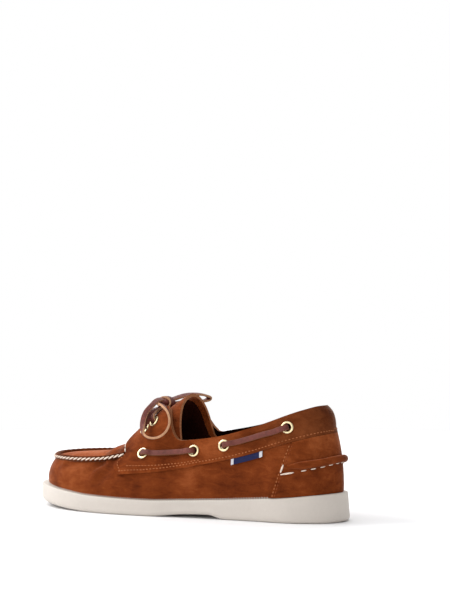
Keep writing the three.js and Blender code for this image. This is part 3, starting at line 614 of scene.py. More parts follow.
def throat_cutter(last, front, edge):
    """Slot between the wings, open to the rear, cut straight down."""
    bm = bmesh.new()
    bmesh.ops.create_cube(bm, size=1)
    rear, end = -CUT_REACH, last.y(front)
    low, high = THROAT_BOTTOM * last.sizes.instep_height, 0.2
    for vert in bm.verts:
        vert.co = Vector((
            math.copysign(THROAT_WIDTH / 2, vert.co.x),
            end if vert.co.y > 0 else rear,
            high if vert.co.z > 0 else low)) + ROW_SHIFT
    corners = [e for e in bm.edges
               if all(abs(v.co.y - end) < 1e-6 for v in e.verts)
               and abs(e.verts[0].co.x - e.verts[1].co.x) < 1e-6]
    bmesh.ops.bevel(bm, geom=corners, offset=0.004, segments=5, profile=0.5, affect="EDGES",
                    material=-1)
    return helper("throat cutter", bm, edge)


def standing(place, normal):
    """Moves a shape to a place and turns its z along the normal there."""
    return Matrix.Translation(place) @ UP.rotation_difference(normal).to_matrix().to_4x4()


def bore_cutter(last, edge):
    """Holes for the eyelets' barrels."""
    bm = bmesh.new()
    for place, normal in eyelet_spots(last).values():
        bmesh.ops.create_cone(bm, cap_ends=True, segments=20, radius1=BORE_RADIUS, radius2=BORE_RADIUS,
                              depth=BORE_DEPTH, matrix=standing(place, normal))
    return helper("bores", bm, edge)


def helper(name, bm, *looks):
    """Object of a mesh, with materials or the names of finishes."""
    mesh = bpy.data.meshes.new(name)
    bm.to_mesh(mesh)
    bm.free()
    for look in looks:
        mesh.materials.append(finish(look) if isinstance(look, str) else look)
    made = bpy.data.objects.new(name, mesh)
    bpy.context.scene.collection.objects.link(made)
    return made


def grid(bm, columns, rows):
    """Adds a flat grid and gives its corners, each with its column and its row."""
    verts = bmesh.ops.create_grid(bm, x_segments=columns, y_segments=rows, size=0.5)["verts"]
    return [(vert, round((vert.co.x + 0.5) * columns), round((vert.co.y + 0.5) * rows))
            for vert in verts]


def carve(made, steps):
    """Cuts or keeps regions of a piece, with the cutters' material on the cut faces."""
    for operation, cutter in steps:
        cut = made.modifiers.new(operation, "BOOLEAN")
        cut.operation = operation
        cut.solver = "EXACT"
        cut.material_mode = "TRANSFER"
        cut.object = cutter
    settle(made)
    for _, cutter in steps:
        bpy.data.objects.remove(cutter)


def settle(made):
    """Applies the modifiers."""
    graph = bpy.context.evaluated_depsgraph_get()
    mesh = bpy.data.meshes.new_from_object(made.evaluated_get(graph))
    made.modifiers.clear()
    made.data = mesh


def piece(made, slot, *nodes, angle=40):
    """Smooths a finished piece and hands it to the frame."""
    for face in made.data.polygons:
        face.use_smooth = True
    made.data.set_sharp_from_angle(angle=math.radians(angle))
    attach(made, "root")
    if nodes:
        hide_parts(*nodes)
    return made


def tube(name, path, section, looks, sides=None, swell=None):
    """Section carried along a path of places and face directions, with a UV map along it."""
    bm = bmesh.new()
    around, long = len(section), len(path) - 1
    corners = grid(bm, around, long)
    layer = bm.loops.layers.uv.new("run")
    run = [0.0]
    for (a, _), (b, _) in zip(path, path[1:]):
        run.append(run[-1] + (b - a).length)
    frames = []
    for j, (point, face) in enumerate(path):
        ahead = (path[min(j + 1, long)][0] - path[max(j - 1, 0)][0]).normalized()
        across = ahead.cross(face).normalized()
        frames.append((point, across, across.cross(ahead)))
    for face in bm.faces:
        column = math.floor((face.calc_center_median().x + 0.5) * around)
        if sides:
            face.material_index = sides[column]
        for loop in face.loops:
            row = round((loop.vert.co.y + 0.5) * long)
            edge = column if loop.vert.co.x + 0.5 < (column + 0.5) / around else column + 1
            loop[layer].uv = (edge / around, run[row] / 0.01)
    for vert, column, row in corners:
        point, across, up = frames[row]
        a, u = section[column % around]
        vert.co = point + (across * a + up * u) * (swell[row] if swell else 1.0)
    bmesh.ops.remove_doubles(bm, verts=bm.verts, dist=0.000005)
    bmesh.ops.holes_fill(bm, edges=[e for e in bm.edges if e.is_boundary], sides=0)
    bmesh.ops.recalc_face_normals(bm, faces=bm.faces)
    return helper(name, bm, *looks)


def round_section(radius, sides):
    turns = [math.tau * (i + 0.5) / sides for i in range(sides)]
    return [(radius * math.cos(t), radius * math.sin(t)) for t in turns]


def lace_section(sizes):
    """Flat lace with rounded corners: its section, and which of its sides are cut edges."""
    a, u, r = sizes.lace_width / 2, sizes.lace_thickness / 2, LACE_CORNER
    section = []
    for turn, (cx, cy) in enumerate([(a - r, u - r), (r - a, u - r), (r - a, r - u), (a - r, r - u)]):
        for k in range(4):
            t = math.pi / 2 * (turn + k / 3)
            section.append((cx + r * math.cos(t), cy + r * math.sin(t)))
    edges = [0] * 16
    for i in (0, 1, 5, 6, 7, 8, 9, 13, 14, 15):
        edges[i] = 1
    return section, edges


def smooth_path(stops, steps):
    """Smooth path through places and face directions."""
    places = centripetal([place for place, _ in stops])
    faces = centripetal([face for _, face in stops])
    count = (len(stops) - 1) * steps
    return [(places(i / count), faces(i / count).normalized()) for i in range(count + 1)]


def eyelet_spots(last):
    """Place and normal of each eyelet on the form, by its node's name."""
    spots = {}
    for side, column in COLUMN.items():
        for kind, rows in (("", SIDE_EYELETS), ("throat_", THROAT_EYELETS)):
            for i, row in enumerate(rows):
                spots[f"eyelet_{kind}{side}_{i + 1}"] = last.spot(side, row[0], row[column], 0)
    return spots


def flat_way(normal, way):
    return (way - normal * way.dot(normal)).normalized()


def leave_eyelet(last, spot, towards):
    """Stops of the lace from inside an eyelet's hole over its flange, towards a place."""
    place, normal = spot
    way = flat_way(normal, towards - place)
    top = rear_of(last) + 1.3 * MM
    over = rear_of(last) + 1.7 * MM + last.sizes.lace_thickness / 2
    stops = []
    for ahead, lift, upright in ((0, -0.5 * MM, 1), (0, top + 0.15 * MM, 1),
                                 (0.45 * MM, over - 0.3 * MM, 0.5), (1.5 * MM, over + 0.3 * MM, 0),
                                 (6 * MM, over, 0)):
        stops.append((place + way * ahead + normal * lift,
                      (normal * (1 - upright) - way * upright).normalized()))
    return stops


class Nodes:
    """Short hand for a node tree and its shader."""

    def __init__(self, holder, shader="Principled BSDF"):
        holder.use_nodes = True
        self.holder = holder
        self.tree = holder.node_tree
        self.shader = self.tree.nodes[shader]

    def add(self, kind, **values):
        node = self.tree.nodes.new(kind)
        for key, value in values.items():
            if key in node.inputs:
                node.inputs[key].default_value = value
            else:
                setattr(node, key, value)
        return node

    def link(self, a, b):
        self.tree.links.new(a, b)

    def place(self, scale=(1, 1, 1), turn=(0, 0, 0), source="Object"):
        mapping = self.add("ShaderNodeMapping", Scale=scale, Rotation=turn)
        self.link(self.add("ShaderNodeTexCoord").outputs[source], mapping.inputs["Vector"])
        return mapping.outputs["Vector"]

    def noise(self, scale, detail=3, rough=0.55, vector=None, distortion=0.0):
        node = self.add("ShaderNodeTexNoise", Scale=scale, Detail=detail, Roughness=rough,
                        Distortion=distortion)
        self.link(vector or self.place(), node.inputs["Vector"])
        return node.outputs["Fac"]

    def ramp(self, value, stops):
        node = self.add("ShaderNodeValToRGB")
        band = node.color_ramp
        while len(band.elements) < len(stops):
            band.elements.new(0.5)
        for element, (place, colour_there) in zip(band.elements, stops):
            element.position = place
            element.color = (*colour_there, 1)
        self.link(value, node.inputs["Fac"])
        return node.outputs["Color"]

    def paint(self, value, base, *stops):
        """Base colour from a value: places on its range, each with a factor of the base."""
        colours = self.ramp(value, [(place, tint(base, factor)) for place, factor in stops])
        self.link(colours, self.shader.inputs["Base Color"])

    def ranged(self, value, low, high, start, end):
        """Value of one range carried over to another."""
        node = self.add("ShaderNodeMapRange", **{"From Min": low, "From Max": high,
                                                 "To Min": start, "To Max": end})
        self.link(value, node.inputs["Value"])
        return node.outputs["Result"]

    def graded(self, base, source, axis, span, gains):
        """Colour made lighter or darker along one axis of a coordinate."""
        parts = self.add("ShaderNodeSeparateXYZ")
        self.link(self.place(source=source), parts.inputs[0])
        scaled = self.add("ShaderNodeVectorMath", operation="SCALE")
        self.link(base, scaled.inputs[0])
        self.link(self.ranged(parts.outputs[axis], *span, *gains), scaled.inputs["Scale"])
        return scaled.outputs["Vector"]

    def combine(self, *parts):
        """Weighted sum of heights."""
        total = None
        for value, weight in parts:
            node = self.add("ShaderNodeMath", operation="MULTIPLY_ADD")
            self.link(value, node.inputs[0])
            node.inputs[1].default_value = weight
            node.inputs[2].default_value = 0
            if total is not None:
                self.link(total, node.inputs[2])
            total = node.outputs[0]
        return total

    def bump(self, height, distance, strength=1.0):
        node = self.add("ShaderNodeBump", Distance=distance, Strength=strength)
        self.link(height, node.inputs["Height"])
        self.link(node.outputs["Normal"], self.shader.inputs["Normal"])

    def set(self, **values):
        for key, value in values.items():
            self.shader.inputs[key.replace("_", " ")].default_value = value


def tint(value, factor):
    return tuple(min(1.0, channel * factor) for channel in value)


def suede_finish(n, shade, main, light, shift=0.0, painted_light_grade=None):
    """Napped leather: broad mottling, brushed streaks, a fine nap and, where a grade is given, painted
    light and shade that change slowly along one axis.
    """
    broad = n.noise(20, 4, 0.6, n.place(turn=(0.3, shift, 0.2)))
    brushed = n.noise(150, 5, 0.65, n.place(scale=(1, 0.45, 1.3), turn=(0.5, shift, 0)), 0.6)
    nap = n.noise(1500, 4, 0.7)
    mood = n.combine((broad, 0.6), (brushed, 0.28), (nap, 0.22))
    base = n.ramp(mood, [(0.41, shade), (0.55, main), (0.73, light)])
    n.link(n.graded(base, *painted_light_grade) if painted_light_grade else base, n.shader.inputs["Base Color"])
    n.bump(n.combine((nap, 1.0), (brushed, 0.8)), 0.0004, 0.55)
    n.set(Roughness=0.95, Sheen_Weight=0.35, Sheen_Roughness=0.25, Sheen_Tint=(1.0, 0.72, 0.55, 1),
          Specular_IOR_Level=0.06)


def edge_finish(n, base):
    """Cut edge of leather, fibrous across."""
    fibres = n.noise(1800, 4, 0.7, n.place(scale=(1, 1, 0.4)))
    n.paint(n.combine((fibres, 0.6), (n.noise(260, 3, 0.6), 0.4)), base, (0.3, 0.6), (0.7, 1.15))
    n.bump(fibres, 0.0003, 0.6)
    n.set(Roughness=0.85, Specular_IOR_Level=0.2)


def leather_finish(n, base, rough=0.7, cells=900):
    """Smooth leather with a fine grain and rubbed places."""
    grain = n.add("ShaderNodeTexVoronoi", Scale=cells)
    n.link(n.place(), grain.inputs["Vector"])
    n.paint(n.noise(60, 4, 0.6), base, (0.3, 0.7), (0.7, 1.35))
    n.bump(n.combine((grain.outputs["Distance"], 1.0), (n.noise(400), 0.6)), 0.0002, 0.6)
    n.set(Roughness=rough, Specular_IOR_Level=0.0)


def rawhide_finish(n, base):
    """Oiled rawhide: streaks along the lace, waxy."""
    streaks = n.noise(2.2, 5, 0.65, n.place(scale=(14, 1.2, 1), source="UV"))
    rubbed = n.noise(110, 4, 0.6)
    n.paint(n.combine((streaks, 0.6), (rubbed, 0.4)), base, (0.32, 0.55), (0.55, 1.0), (0.8, 2.0))
    n.bump(n.combine((streaks, 0.7), (n.noise(1300), 0.5)), 0.00025, 0.5)
    n.set(Roughness=0.6, Specular_IOR_Level=0.3)


def rubber_finish(n, base):
    """Moulded off-white rubber, faintly mottled and dusty."""
    speck = n.noise(420, 3, 0.6)
    n.paint(n.combine((n.noise(22, 4, 0.6), 0.7), (speck, 0.3)), base, (0.3, 0.93), (0.72, 1.04))
    n.bump(n.combine((speck, 0.6), (n.noise(1600), 0.5)), 0.00012, 0.5)
    n.set(Roughness=0.55, Specular_IOR_Level=0.35)


def brass_finish(n, base):
    """Pale brass with fine brushing and dull spots."""
    spots = n.noise(500, 4, 0.6)
    n.paint(spots, base, (0.35, 0.75), (0.65, 1.05))
    n.link(n.ranged(spots, 0.0, 1.0, 0.38, 0.22), n.shader.inputs["Roughness"])
    n.bump(n.noise(1500), 0.00008, 0.4)
    n.set(Metallic=1.0)


def thread_finish(n, base):
    """Twisted thread: its plies wind round each stitch."""
    twist = n.add("ShaderNodeTexWave", Scale=2.2, Distortion=0.4, bands_direction="DIAGONAL")
    n.link(n.place(source="UV"), twist.inputs["Vector"])
    plies = twist.outputs["Fac"]
    n.paint(n.combine((plies, 0.6), (n.noise(1500, 3), 0.4)), base, (0.15, 0.62), (0.7, 1.08))
    n.bump(plies, 0.0002, 0.6)
    n.set(Roughness=0.8, Specular_IOR_Level=0.2)


def label_finish(n, base):
    """Woven label: fine threads both ways."""
    threads = []
    for way in ("Y", "Z"):
        wave = n.add("ShaderNodeTexWave", Scale=900, bands_direction=way)
        n.link(n.place(), wave.inputs["Vector"])
        threads.append((wave.outputs["Fac"], 0.5))
    weave = n.combine(*threads)
    n.paint(weave, base, (0.2, 0.6), (0.8, 1.2))
    n.bump(weave, 0.0002, 0.6)
    n.set(Roughness=0.85, Specular_IOR_Level=0.15)


SUEDES = ("suede_shade", "suede", "suede_light")
# Painted sheen: suede that faces upwards, as on the apron, is painted up to 1.75 times lighter, standing
# in for light caught there
UPWARD_PAINTED_SHEEN = ("Normal", "Z", (0.8, 0.97), (1.0, 1.75))
# Painted shade: the band's suede goes from 1.1 times its colour in front down to half at the heel's back
HEEL_PAINTED_SHADE = ("Object", "Y", (-0.135, -0.03), (0.5, 1.1))

# Each finish: its function, the colours that it takes, a factor on them and its other values
FINISHES = {
    "suede": (suede_finish, SUEDES, 1.0, {"painted_light_grade": UPWARD_PAINTED_SHEEN}),
    "band_suede": (suede_finish, SUEDES, 1.0, {"shift": 0.7, "painted_light_grade": HEEL_PAINTED_SHADE}),
    # Painted shade: the seam's rim is a copy of the suede painted at half its brightness
    "rim_suede": (suede_finish, SUEDES, 0.5, {"shift": 0.4}),
    # Painted light: the tongue's back is the suede painted twice as light, standing in for light that
    # hardly reaches it
    "tongue_back": (suede_finish, SUEDES, 2.0, {"shift": 0.2}),
    "raw_edge": (edge_finish, ["raw_edge"], 1.0, {}),
    # Painted light: the tongue's cut edge is painted 1.2 times lighter than the other cut edges, standing
    # in for light in its shade
    "tongue_edge": (edge_finish, ["raw_edge"], 1.2, {}),
    "bar_edge": (edge_finish, ["raw_edge"], 0.55, {}),
    "lace_edge": (edge_finish, ["lace_edge"], 1.0, {}),
    "lining": (leather_finish, ["lining"], 1.0, {}),
    # Painted light: the lining patch on the tongue's back is painted six times lighter than the lining,
    # standing in for light that hardly reaches it
    "patch_lining": (leather_finish, ["lining"], 6.0, {"rough": 0.8, "cells": 700}),
    "rawhide": (rawhide_finish, ["rawhide"], 1.0, {}),
    "rubber": (rubber_finish, ["rubber"], 1.0, {}),
    "brass": (brass_finish, ["brass"], 1.0, {}),
    "cream_thread": (thread_finish, ["cream_thread"], 1.0, {}),
    "brown_thread": (thread_finish, ["brown_thread"], 1.0, {}),
    "dark_thread": (thread_finish, ["suede"], 1.5, {}),
    "label": (label_finish, ["label"], 1.0, {}),
    "label_white": (label_finish, ["label_ends"], 1.0, {}),
}


@functools.cache
def finish(key):
    """Material of a finish, made the first time that it is asked for."""
    make, keys, factor, others = FINISHES[key]
    colours = bpy.context.scene.shoe_colours
    nodes = Nodes(bpy.data.materials.new(key))
    make(nodes, *[tint(getattr(colours, name), factor) for name in keys], **others)
    return nodes.holder


@functools.cache
def the_last():
    return Last(bpy.context.scene.shoe_sizes)


def rear_of(last):
    """Offset of the overlays' outer face."""
    return last.sizes.gap + last.sizes.overlay


def within(last, rows, edge="raw_edge", high=CUT_REACH):
    """Step that keeps what lies inside a side-view region."""
    return ("INTERSECT", side_cutter(last, rows, finish(edge), high=high))


def openings(last, front):
    """Steps that cut the collar, the throat as far as a front share, and the eyelets' holes."""
    edge = finish("raw_edge")
    return [
        ("DIFFERENCE", side_cutter(last, above(smooth_rows(COLLAR_LINE, 90)), edge)),
        ("DIFFERENCE", throat_cutter(last, front, edge)),
        ("DIFFERENCE", bore_cutter(last, edge)),
    ]


def leather(name, last, offset, thickness, outer, inner, steps):
    """Solid layer of leather on the form, its wall inwards from an offset, cut to shape."""
    made = helper(name, last.shell(312, 26, 34, offset), outer, inner, "raw_edge")
    wall = made.modifiers.new("wall", "SOLIDIFY")
    wall.thickness = thickness
    wall.offset = -1
    wall.use_even_offset = False
    wall.material_offset = 1
    wall.material_offset_rim = 2
    settle(made)
    carve(made, steps)
    return made


def stitch_row(name, spots, radius, length, thread, sides=8, rings=6, slot="suede"):
    """Sewn stitches as slim capsules, joined in one mesh: place, direction and normal of each."""
    bm = bmesh.new()
    bm.loops.layers.uv.new("run")
    for place, along, normal in spots:
        along = flat_way(normal, along)
        across = normal.cross(along)
        turn = Matrix((across, normal, along)).transposed().to_4x4()
        grow = Matrix.Diagonal((radius, radius * 0.85, length / 2, 1))
        bmesh.ops.create_uvsphere(bm, u_segments=sides, v_segments=rings, radius=1,
                                  matrix=Matrix.Translation(place) @ turn @ grow, calc_uvs=True)
    piece(helper(name, bm, thread), slot, angle=80)


def dot_row(name, line, pitch, last, thread="brown_thread"):
    """Fine machine stitches along a line."""
    stitch_row(name, walk(line, pitch), last.sizes.fine_thread, 1.9 * MM, thread, 6, 4)


def walk(line, pitch, start=0.0):
    """Places at an even pitch along a list of places with normals, with the direction at each."""
    spots = []
    due = start
    run = 0.0
    for (a, na), (b, nb) in zip(line, line[1:]):
        step = (b - a).length
        while due <= run + step and step > 0:
            t = (due - run) / step
            spots.append((a.lerp(b, t), (b - a).normalized(), na.lerp(nb, t).normalized()))
            due += pitch
        run += step
    return spots


def side_line(last, side, rows, offset, steps=60):
    """Line on one side of the form through side-view rows."""
    return [last.spot(side, row[0], row[COLUMN[side]], offset) for row in smooth_rows(rows, steps)]


def put(name, data, place, way):
    """Lamp or camera at a place, looking along a way."""
    made = bpy.data.objects.new(name, data)
    made.location = place
    made.rotation_euler = way.to_track_quat("-Z", "Y").to_euler()
    bpy.context.scene.collection.objects.link(made)
    return made


class SHOE_OT_stage(bpy.types.Operator):
    """Plain pale floor, soft studio light and the camera"""
    bl_idname = "shoe.stage"
    bl_label = "Stage"

    def execute(self, context):
        n = Nodes(bpy.data.materials.new("floor"))
        n.link(n.ramp(n.noise(3, 2), [(0.3, (0.86, 0.86, 0.87)), (0.7, (0.89, 0.89, 0.90))]),
               n.shader.inputs["Base Color"])
        n.set(Roughness=0.7, Specular_IOR_Level=0.2)
        bm = bmesh.new()
        bmesh.ops.create_circle(bm, cap_ends=True, segments=64, radius=FLOOR_RADIUS)
        helper("floor", bm, n.holder)

        scene = context.scene
        scene.view_settings.view_transform = "Standard"
        world = Nodes(bpy.data.worlds.new("studio"), "Background")
        facing = world.add("ShaderNodeVectorMath", operation="DOT_PRODUCT")
        facing.inputs[1].default_value = BRIGHT_WAY
        world.link(world.add("ShaderNodeTexCoord").outputs["Generated"], facing.inputs[0])
        world.link(world.ranged(facing.outputs["Value"], -0.3, 0.35, 0.55, 1.0),
                   world.shader.inputs["Color"])
        scene.world = world.holder
        for name, place, size, power in LAMPS:
            data = bpy.data.lights.new(name, "AREA")
            data.size = size
            data.energy = power
            put(name, data, place, LAMP_TARGET - Vector(place))

        data = bpy.data.cameras.new("camera")
        data.lens = CAMERA_LENS
        data.clip_start = 0.05
        level = CAMERA_AHEAD * math.cos(CAMERA_YAW) + CAMERA_RIGHT * math.sin(CAMERA_YAW)
        aim = level * math.cos(CAMERA_PITCH) + UP * math.sin(CAMERA_PITCH)
        scene.camera = put("camera", data, CAMERA_PLACE, aim)
        return {"FINISHED"}


def lofted(name, last, columns, rings, slot_finish):
    """Skin of rings round the outline, closed above and below."""
    def height(y, ring):
        return last.sole_bottom(y) * (1 - ring[3]) + last.sole_top(y) * ring[3] + ring[4] * MM

    bm = bmesh.new()
    for vert, column, row in grid(bm, columns, len(rings) - 1):
        share = column / columns % 1
        ledge, flare, inset = rings[row][:3]
        place = last.outline(share)
        if inset is None:
            spine = Vector((0, min(max(place.y, last.y(0.15)), last.y(0.85)), 0))
            place = place.lerp(spine, 0.45)
        else:
            trim = last.trim(share)
            place -= last.outward(share) * (ledge * trim.x + flare * trim.y + inset * MM)
        place.z = height(place.y, rings[row])
        vert.co = place + ROW_SHIFT
    bmesh.ops.remove_doubles(bm, verts=bm.verts, dist=0.00002)
    rims = [e for e in bm.edges if e.is_boundary]
    under = []
    for edge in rims:
        spot = edge.verts[0].co
        if abs(spot.z - height(spot.y, rings[0])) < abs(spot.z - height(spot.y, rings[-1])):
            under.append(edge)
    over = [e for e in rims if e not in set(under)]
    for rim in (under, over):
        bmesh.ops.triangle_fill(bm, use_beauty=True, use_dissolve=False, edges=rim)
    bmesh.ops.recalc_face_normals(bm, faces=bm.faces)
    return helper(name, bm, slot_finish)


class SHOE_OT_sole(bpy.types.Operator):
    """Moulded rubber outsole with its rounded edges, siped tread and a row of nibs round the upper"""
    bl_idname = "shoe.sole"
    bl_label = "Sole"

    def execute(self, context):
        last = the_last()
        made = lofted("outsole_rubber", last, 300, SOLE_RINGS, "rubber")
        carve(made, [("DIFFERENCE", self.sipes(last))])
        piece(made, "sole_rubber", "outsole", angle=50)
        line = []
        for i in range(301):
            share = i / 300 % 1
            out = last.outward(share)
            beside = last.outline(share)
            beside.z = last.sole_top(beside.y) + 0.6 * MM
            place, _, _, _ = last.tree(0.0).ray_cast(beside + out * 20 * MM + ROW_SHIFT, -out)
            line.append((place, out))
        stitch_row("sole_nibs", walk(line, 2.3 * MM), 0.8 * MM, 1.1 * MM, "rubber", 6, 4, "sole_rubber")
        return {"FINISHED"}

    def sipes(self, last):
        """Wavy slits across the underside, left out under the arch"""
        line = [last.outline(i / 400) for i in range(400)]
        bm = bmesh.new()
        for start, end, count in SIPE_ROWS:
            for i in range(count):
                y = last.y(start + (end - start) * i / (count - 1))
                beside = [point.x for point in line if abs(point.y - y) < 4 * MM]
                left, right = min(beside) + SIPE_MARGIN, max(beside) - SIPE_MARGIN
                if right - left < SIPE_SHORTEST:
                    continue
                waves = round((right - left) / SIPE_WAVE_LENGTH)
                for vert, column, row in grid(bm, 24, 1):
                    part = column / 24
                    here = y + SIPE_WAVE * math.sin(part * math.tau * waves) + SIPE_HALF * (2 * row - 1)
                    vert.co = Vector((left + (right - left) * part, here,
                                      last.sole_bottom(here) + SIPE_DEPTH)) + ROW_SHIFT
        low = bmesh.ops.extrude_face_region(bm, geom=bm.faces[:])["geom"]
        for vert in (item for item in low if isinstance(item, bmesh.types.BMVert)):
            vert.co.z -= 3 * MM
        bmesh.ops.recalc_face_normals(bm, faces=bm.faces)
        return helper("sipes", bm, "rubber")


class SHOE_OT_insole(bpy.types.Operator):
    """Leather-covered insole inside the shoe"""
    bl_idname = "shoe.insole"
    bl_label = "Insole"

    def execute(self, context):
        last = the_last()
        base, top = last.sizes.gap / MM, (last.sizes.gap + last.sizes.insole) / MM
        room = last.sizes.wall / MM + 0.5
        rows = ((12, base), (0, base), (0, top - 1), (0.4, top - 0.3), (1.2, top), (12, top - 0.8))
        rings = [(1, 0, room + inset, 1, height) for inset, height in rows]
        piece(lofted("insole_cover", last, 200, rings, "lining"), "lining", "insole", angle=50)
        return {"FINISHED"}


class SHOE_OT_upper(bpy.types.Operator):
    """Hollow suede body, open at the collar, the throat and below"""
    bl_idname = "shoe.upper"
    bl_label = "Upper"

    def execute(self, context):
        last = the_last()
        made = leather("upper_leather", last, 0.0, last.sizes.wall, "suede", "lining",
                       openings(last, THROAT_FRONT))
        piece(made, "suede", "upper")
        return {"FINISHED"}


class SHOE_OT_tongue(bpy.types.Operator):
    """Tongue under the throat with its raw edge and dark back; its edge, its suede back and its lining
    patch are painted lighter as painted light.
    """
    bl_idname = "shoe.tongue"
    bl_label = "Tongue"

    def execute(self, context):
        last, sizes = the_last(), context.scene.shoe_sizes
        under = -sizes.wall - sizes.gap
        made = leather("tongue_leather", last, under, sizes.tongue, "suede", "tongue_back",
                       [within(last, TONGUE_LINE, "tongue_edge")])
        piece(made, "suede", "tongue")
        inset = [(along + 0.019, *heights) for along, *heights in TONGUE_LINE[:7]]
        inset += [(along - 0.004, *heights) for along, *heights in TONGUE_LINE[7:]]
        patch = leather("tongue_lining", last, under - sizes.tongue + 0.1 * MM, 0.7 * MM,
                        "lining", "patch_lining", [within(last, inset, "lining")])
        piece(patch, "lining")
        return {"FINISHED"}


class SHOE_OT_overlays(bpy.types.Operator):
    """Band round the collar with its wings, and the heel counter"""
    bl_idname = "shoe.overlays"
    bl_label = "Band and counter"

    def execute(self, context):
        last, sizes = the_last(), context.scene.shoe_sizes
        lower = smooth_rows(BAND_LINE, 60)
        seam = seam_line(last)
        room = round_section(2.8 * MM, 12)
        band = leather("band_leather", last, rear_of(last), sizes.overlay, "band_suede", "lining", [
            within(last, above([*lower, *smooth_rows(WING_FRONT, 40)])),
            *openings(last, WINGS_FRONT),
            *[("DIFFERENCE", tube("seam room", part, room, ["raw_edge"]))
              for part in (seam[:26], seam[-26:])],
        ])
        piece(band, "suede", "collar_band")

        top = [row for row in moved(lower, -sizes.gap / sizes.instep_height) if row[0] < 0.124]
        region = [(top[0][0], 0.1, 0.1), COUNTER_LINE[0], COUNTER_LINE[1], *reversed(top)]
        counter = leather("counter_leather", last, rear_of(last), sizes.overlay, "suede", "lining",
                          [within(last, region)])
        piece(counter, "suede", "heel_counter")
        return {"FINISHED"}


class SHOE_OT_label(bpy.types.Operator):
    """Plain navy label with white ends under the band"""
    bl_idname = "shoe.label"
    bl_label = "Label"

    def execute(self, context):
        last, sizes = the_last(), context.scene.shoe_sizes
        edge = [row for row in smooth_rows(BAND_LINE, 90) if LABEL_FROM < row[0] < LABEL_TO]
        region = [*moved(edge, -sizes.gap / sizes.instep_height), *reversed(moved(edge, -LABEL_DROP))]
        made = leather("label_cloth", last, rear_of(last) - 0.2 * MM, 0.8 * MM, "label", "lining",
                       [within(last, region, "label", high=0)])
        made.data.materials.append(finish("label_white"))
        white = len(made.data.materials) - 1
        low, high = last.y(LABEL_FROM + LABEL_END), last.y(LABEL_TO - LABEL_END)
        for face in made.data.polygons:
            if not low < face.center.y < high:
                face.material_index = white
        piece(made, "label_cloth", "side_label")
        return {"FINISHED"}


def seam_line(last):
    """Places on the moccasin seam with the way that it stands up."""
    line = []
    for i in range(241):
        share = SEAM_START + (1 - 2 * SEAM_START) * i / 240
        face = (last.outward(share) * 0.5 + UP * 0.85).normalized()
        line.append((last.shoulder(share) + face * 0.4 * MM + ROW_SHIFT, face))
    return line


class SHOE_OT_seams(bpy.types.Operator):
    """Raised moccasin seam with its cream stitches, and the rolled seam at the heel"""
    bl_idname = "shoe.seams"
    bl_label = "Raised seams"

    def execute(self, context):
        last = the_last()
        self.moccasin_seam(seam_line(last))
        self.heel_roll(last)
        return {"FINISHED"}

    def moccasin_seam(self, line):
        path = [(place, face) for place, _, face in walk(line, SEAM_PITCH / 6)]
        swell = [1 + 0.05 * math.cos(i * math.pi / 3) for i in range(len(path))]
        rim = [(a * MM, u * MM) for a, u in SEAM_SECTION]
        # The rim takes the suede painted darker, as painted shade
        made = tube("seam_rim", path, rim, ["rim_suede"], swell=swell)
        piece(made, "suede", "apron_seam", angle=65)
        spots = []
        for place, along, face in walk(line, SEAM_PITCH, SEAM_PITCH / 2):
            inward = along.cross(face).normalized()
            out = (face * 0.62 - inward * 0.78).normalized()
            over = out.cross(along).normalized()
            spots.append((place + out * 2.3 * MM, (along * 0.94 + over * 0.34).normalized(), out))
        stitch_row("seam_stitches", spots, 0.76 * MM, 6.2 * MM, "cream_thread")

    def heel_roll(self, last):
        ridge, low = [], []
        for i in range(61):
            part = 1 - 2 * i / 60
            share = HEEL_ROLL_END * part % 1
            height = last.sizes.instep_height * (RIDGE_HEIGHT_END + (RIDGE_HEIGHT_BACK - RIDGE_HEIGHT_END)
                                                 * math.cos(part * math.pi / 2))
            outward = last.outward(share)
            start = last.outline(share) + outward * 0.03 + ROW_SHIFT
            below = (2.9 + 2.3 * part * part) * MM
            for line, drop, lift, offset in ((ridge, 0, 3.2 * MM, 0.0),
                                             (low, below, 0.45 * MM, rear_of(last))):
                start.z = height - drop
                place, normal, _, _ = last.tree(offset).ray_cast(start, -outward)
                line.append((place + normal * lift, normal))
        taper = [min(1.0, 0.45 + min(i, 60 - i) / 9) for i in range(61)]
        made = tube("heel_roll", ridge, round_section(3.1 * MM, 16), ["suede"], swell=taper)
        piece(made, "suede", "heel_ridge", angle=80)
        dashes = walk(low[5:-5], 8.0 * MM, 2.0 * MM)
        stitch_row("heel_stitches", dashes, 0.55 * MM, 4.6 * MM, "cream_thread")
        starts, ends = [], []
        for (a, normal), (b, _) in ((low[0], low[6]), (low[-1], low[-7])):
            way = (b - a).normalized()
            starts.append((a - way * 0.4 * MM, way, normal))
            ends.append((a + (UP - way) * 4.6 * MM + normal * 0.3 * MM, way * 0.4 + UP, normal))
        stitch_row("heel_corner_stitches", starts, 0.75 * MM, 11.5 * MM, "cream_thread")
        stitch_row("heel_corner_ends", ends, 0.75 * MM, 7.5 * MM, "cream_thread")


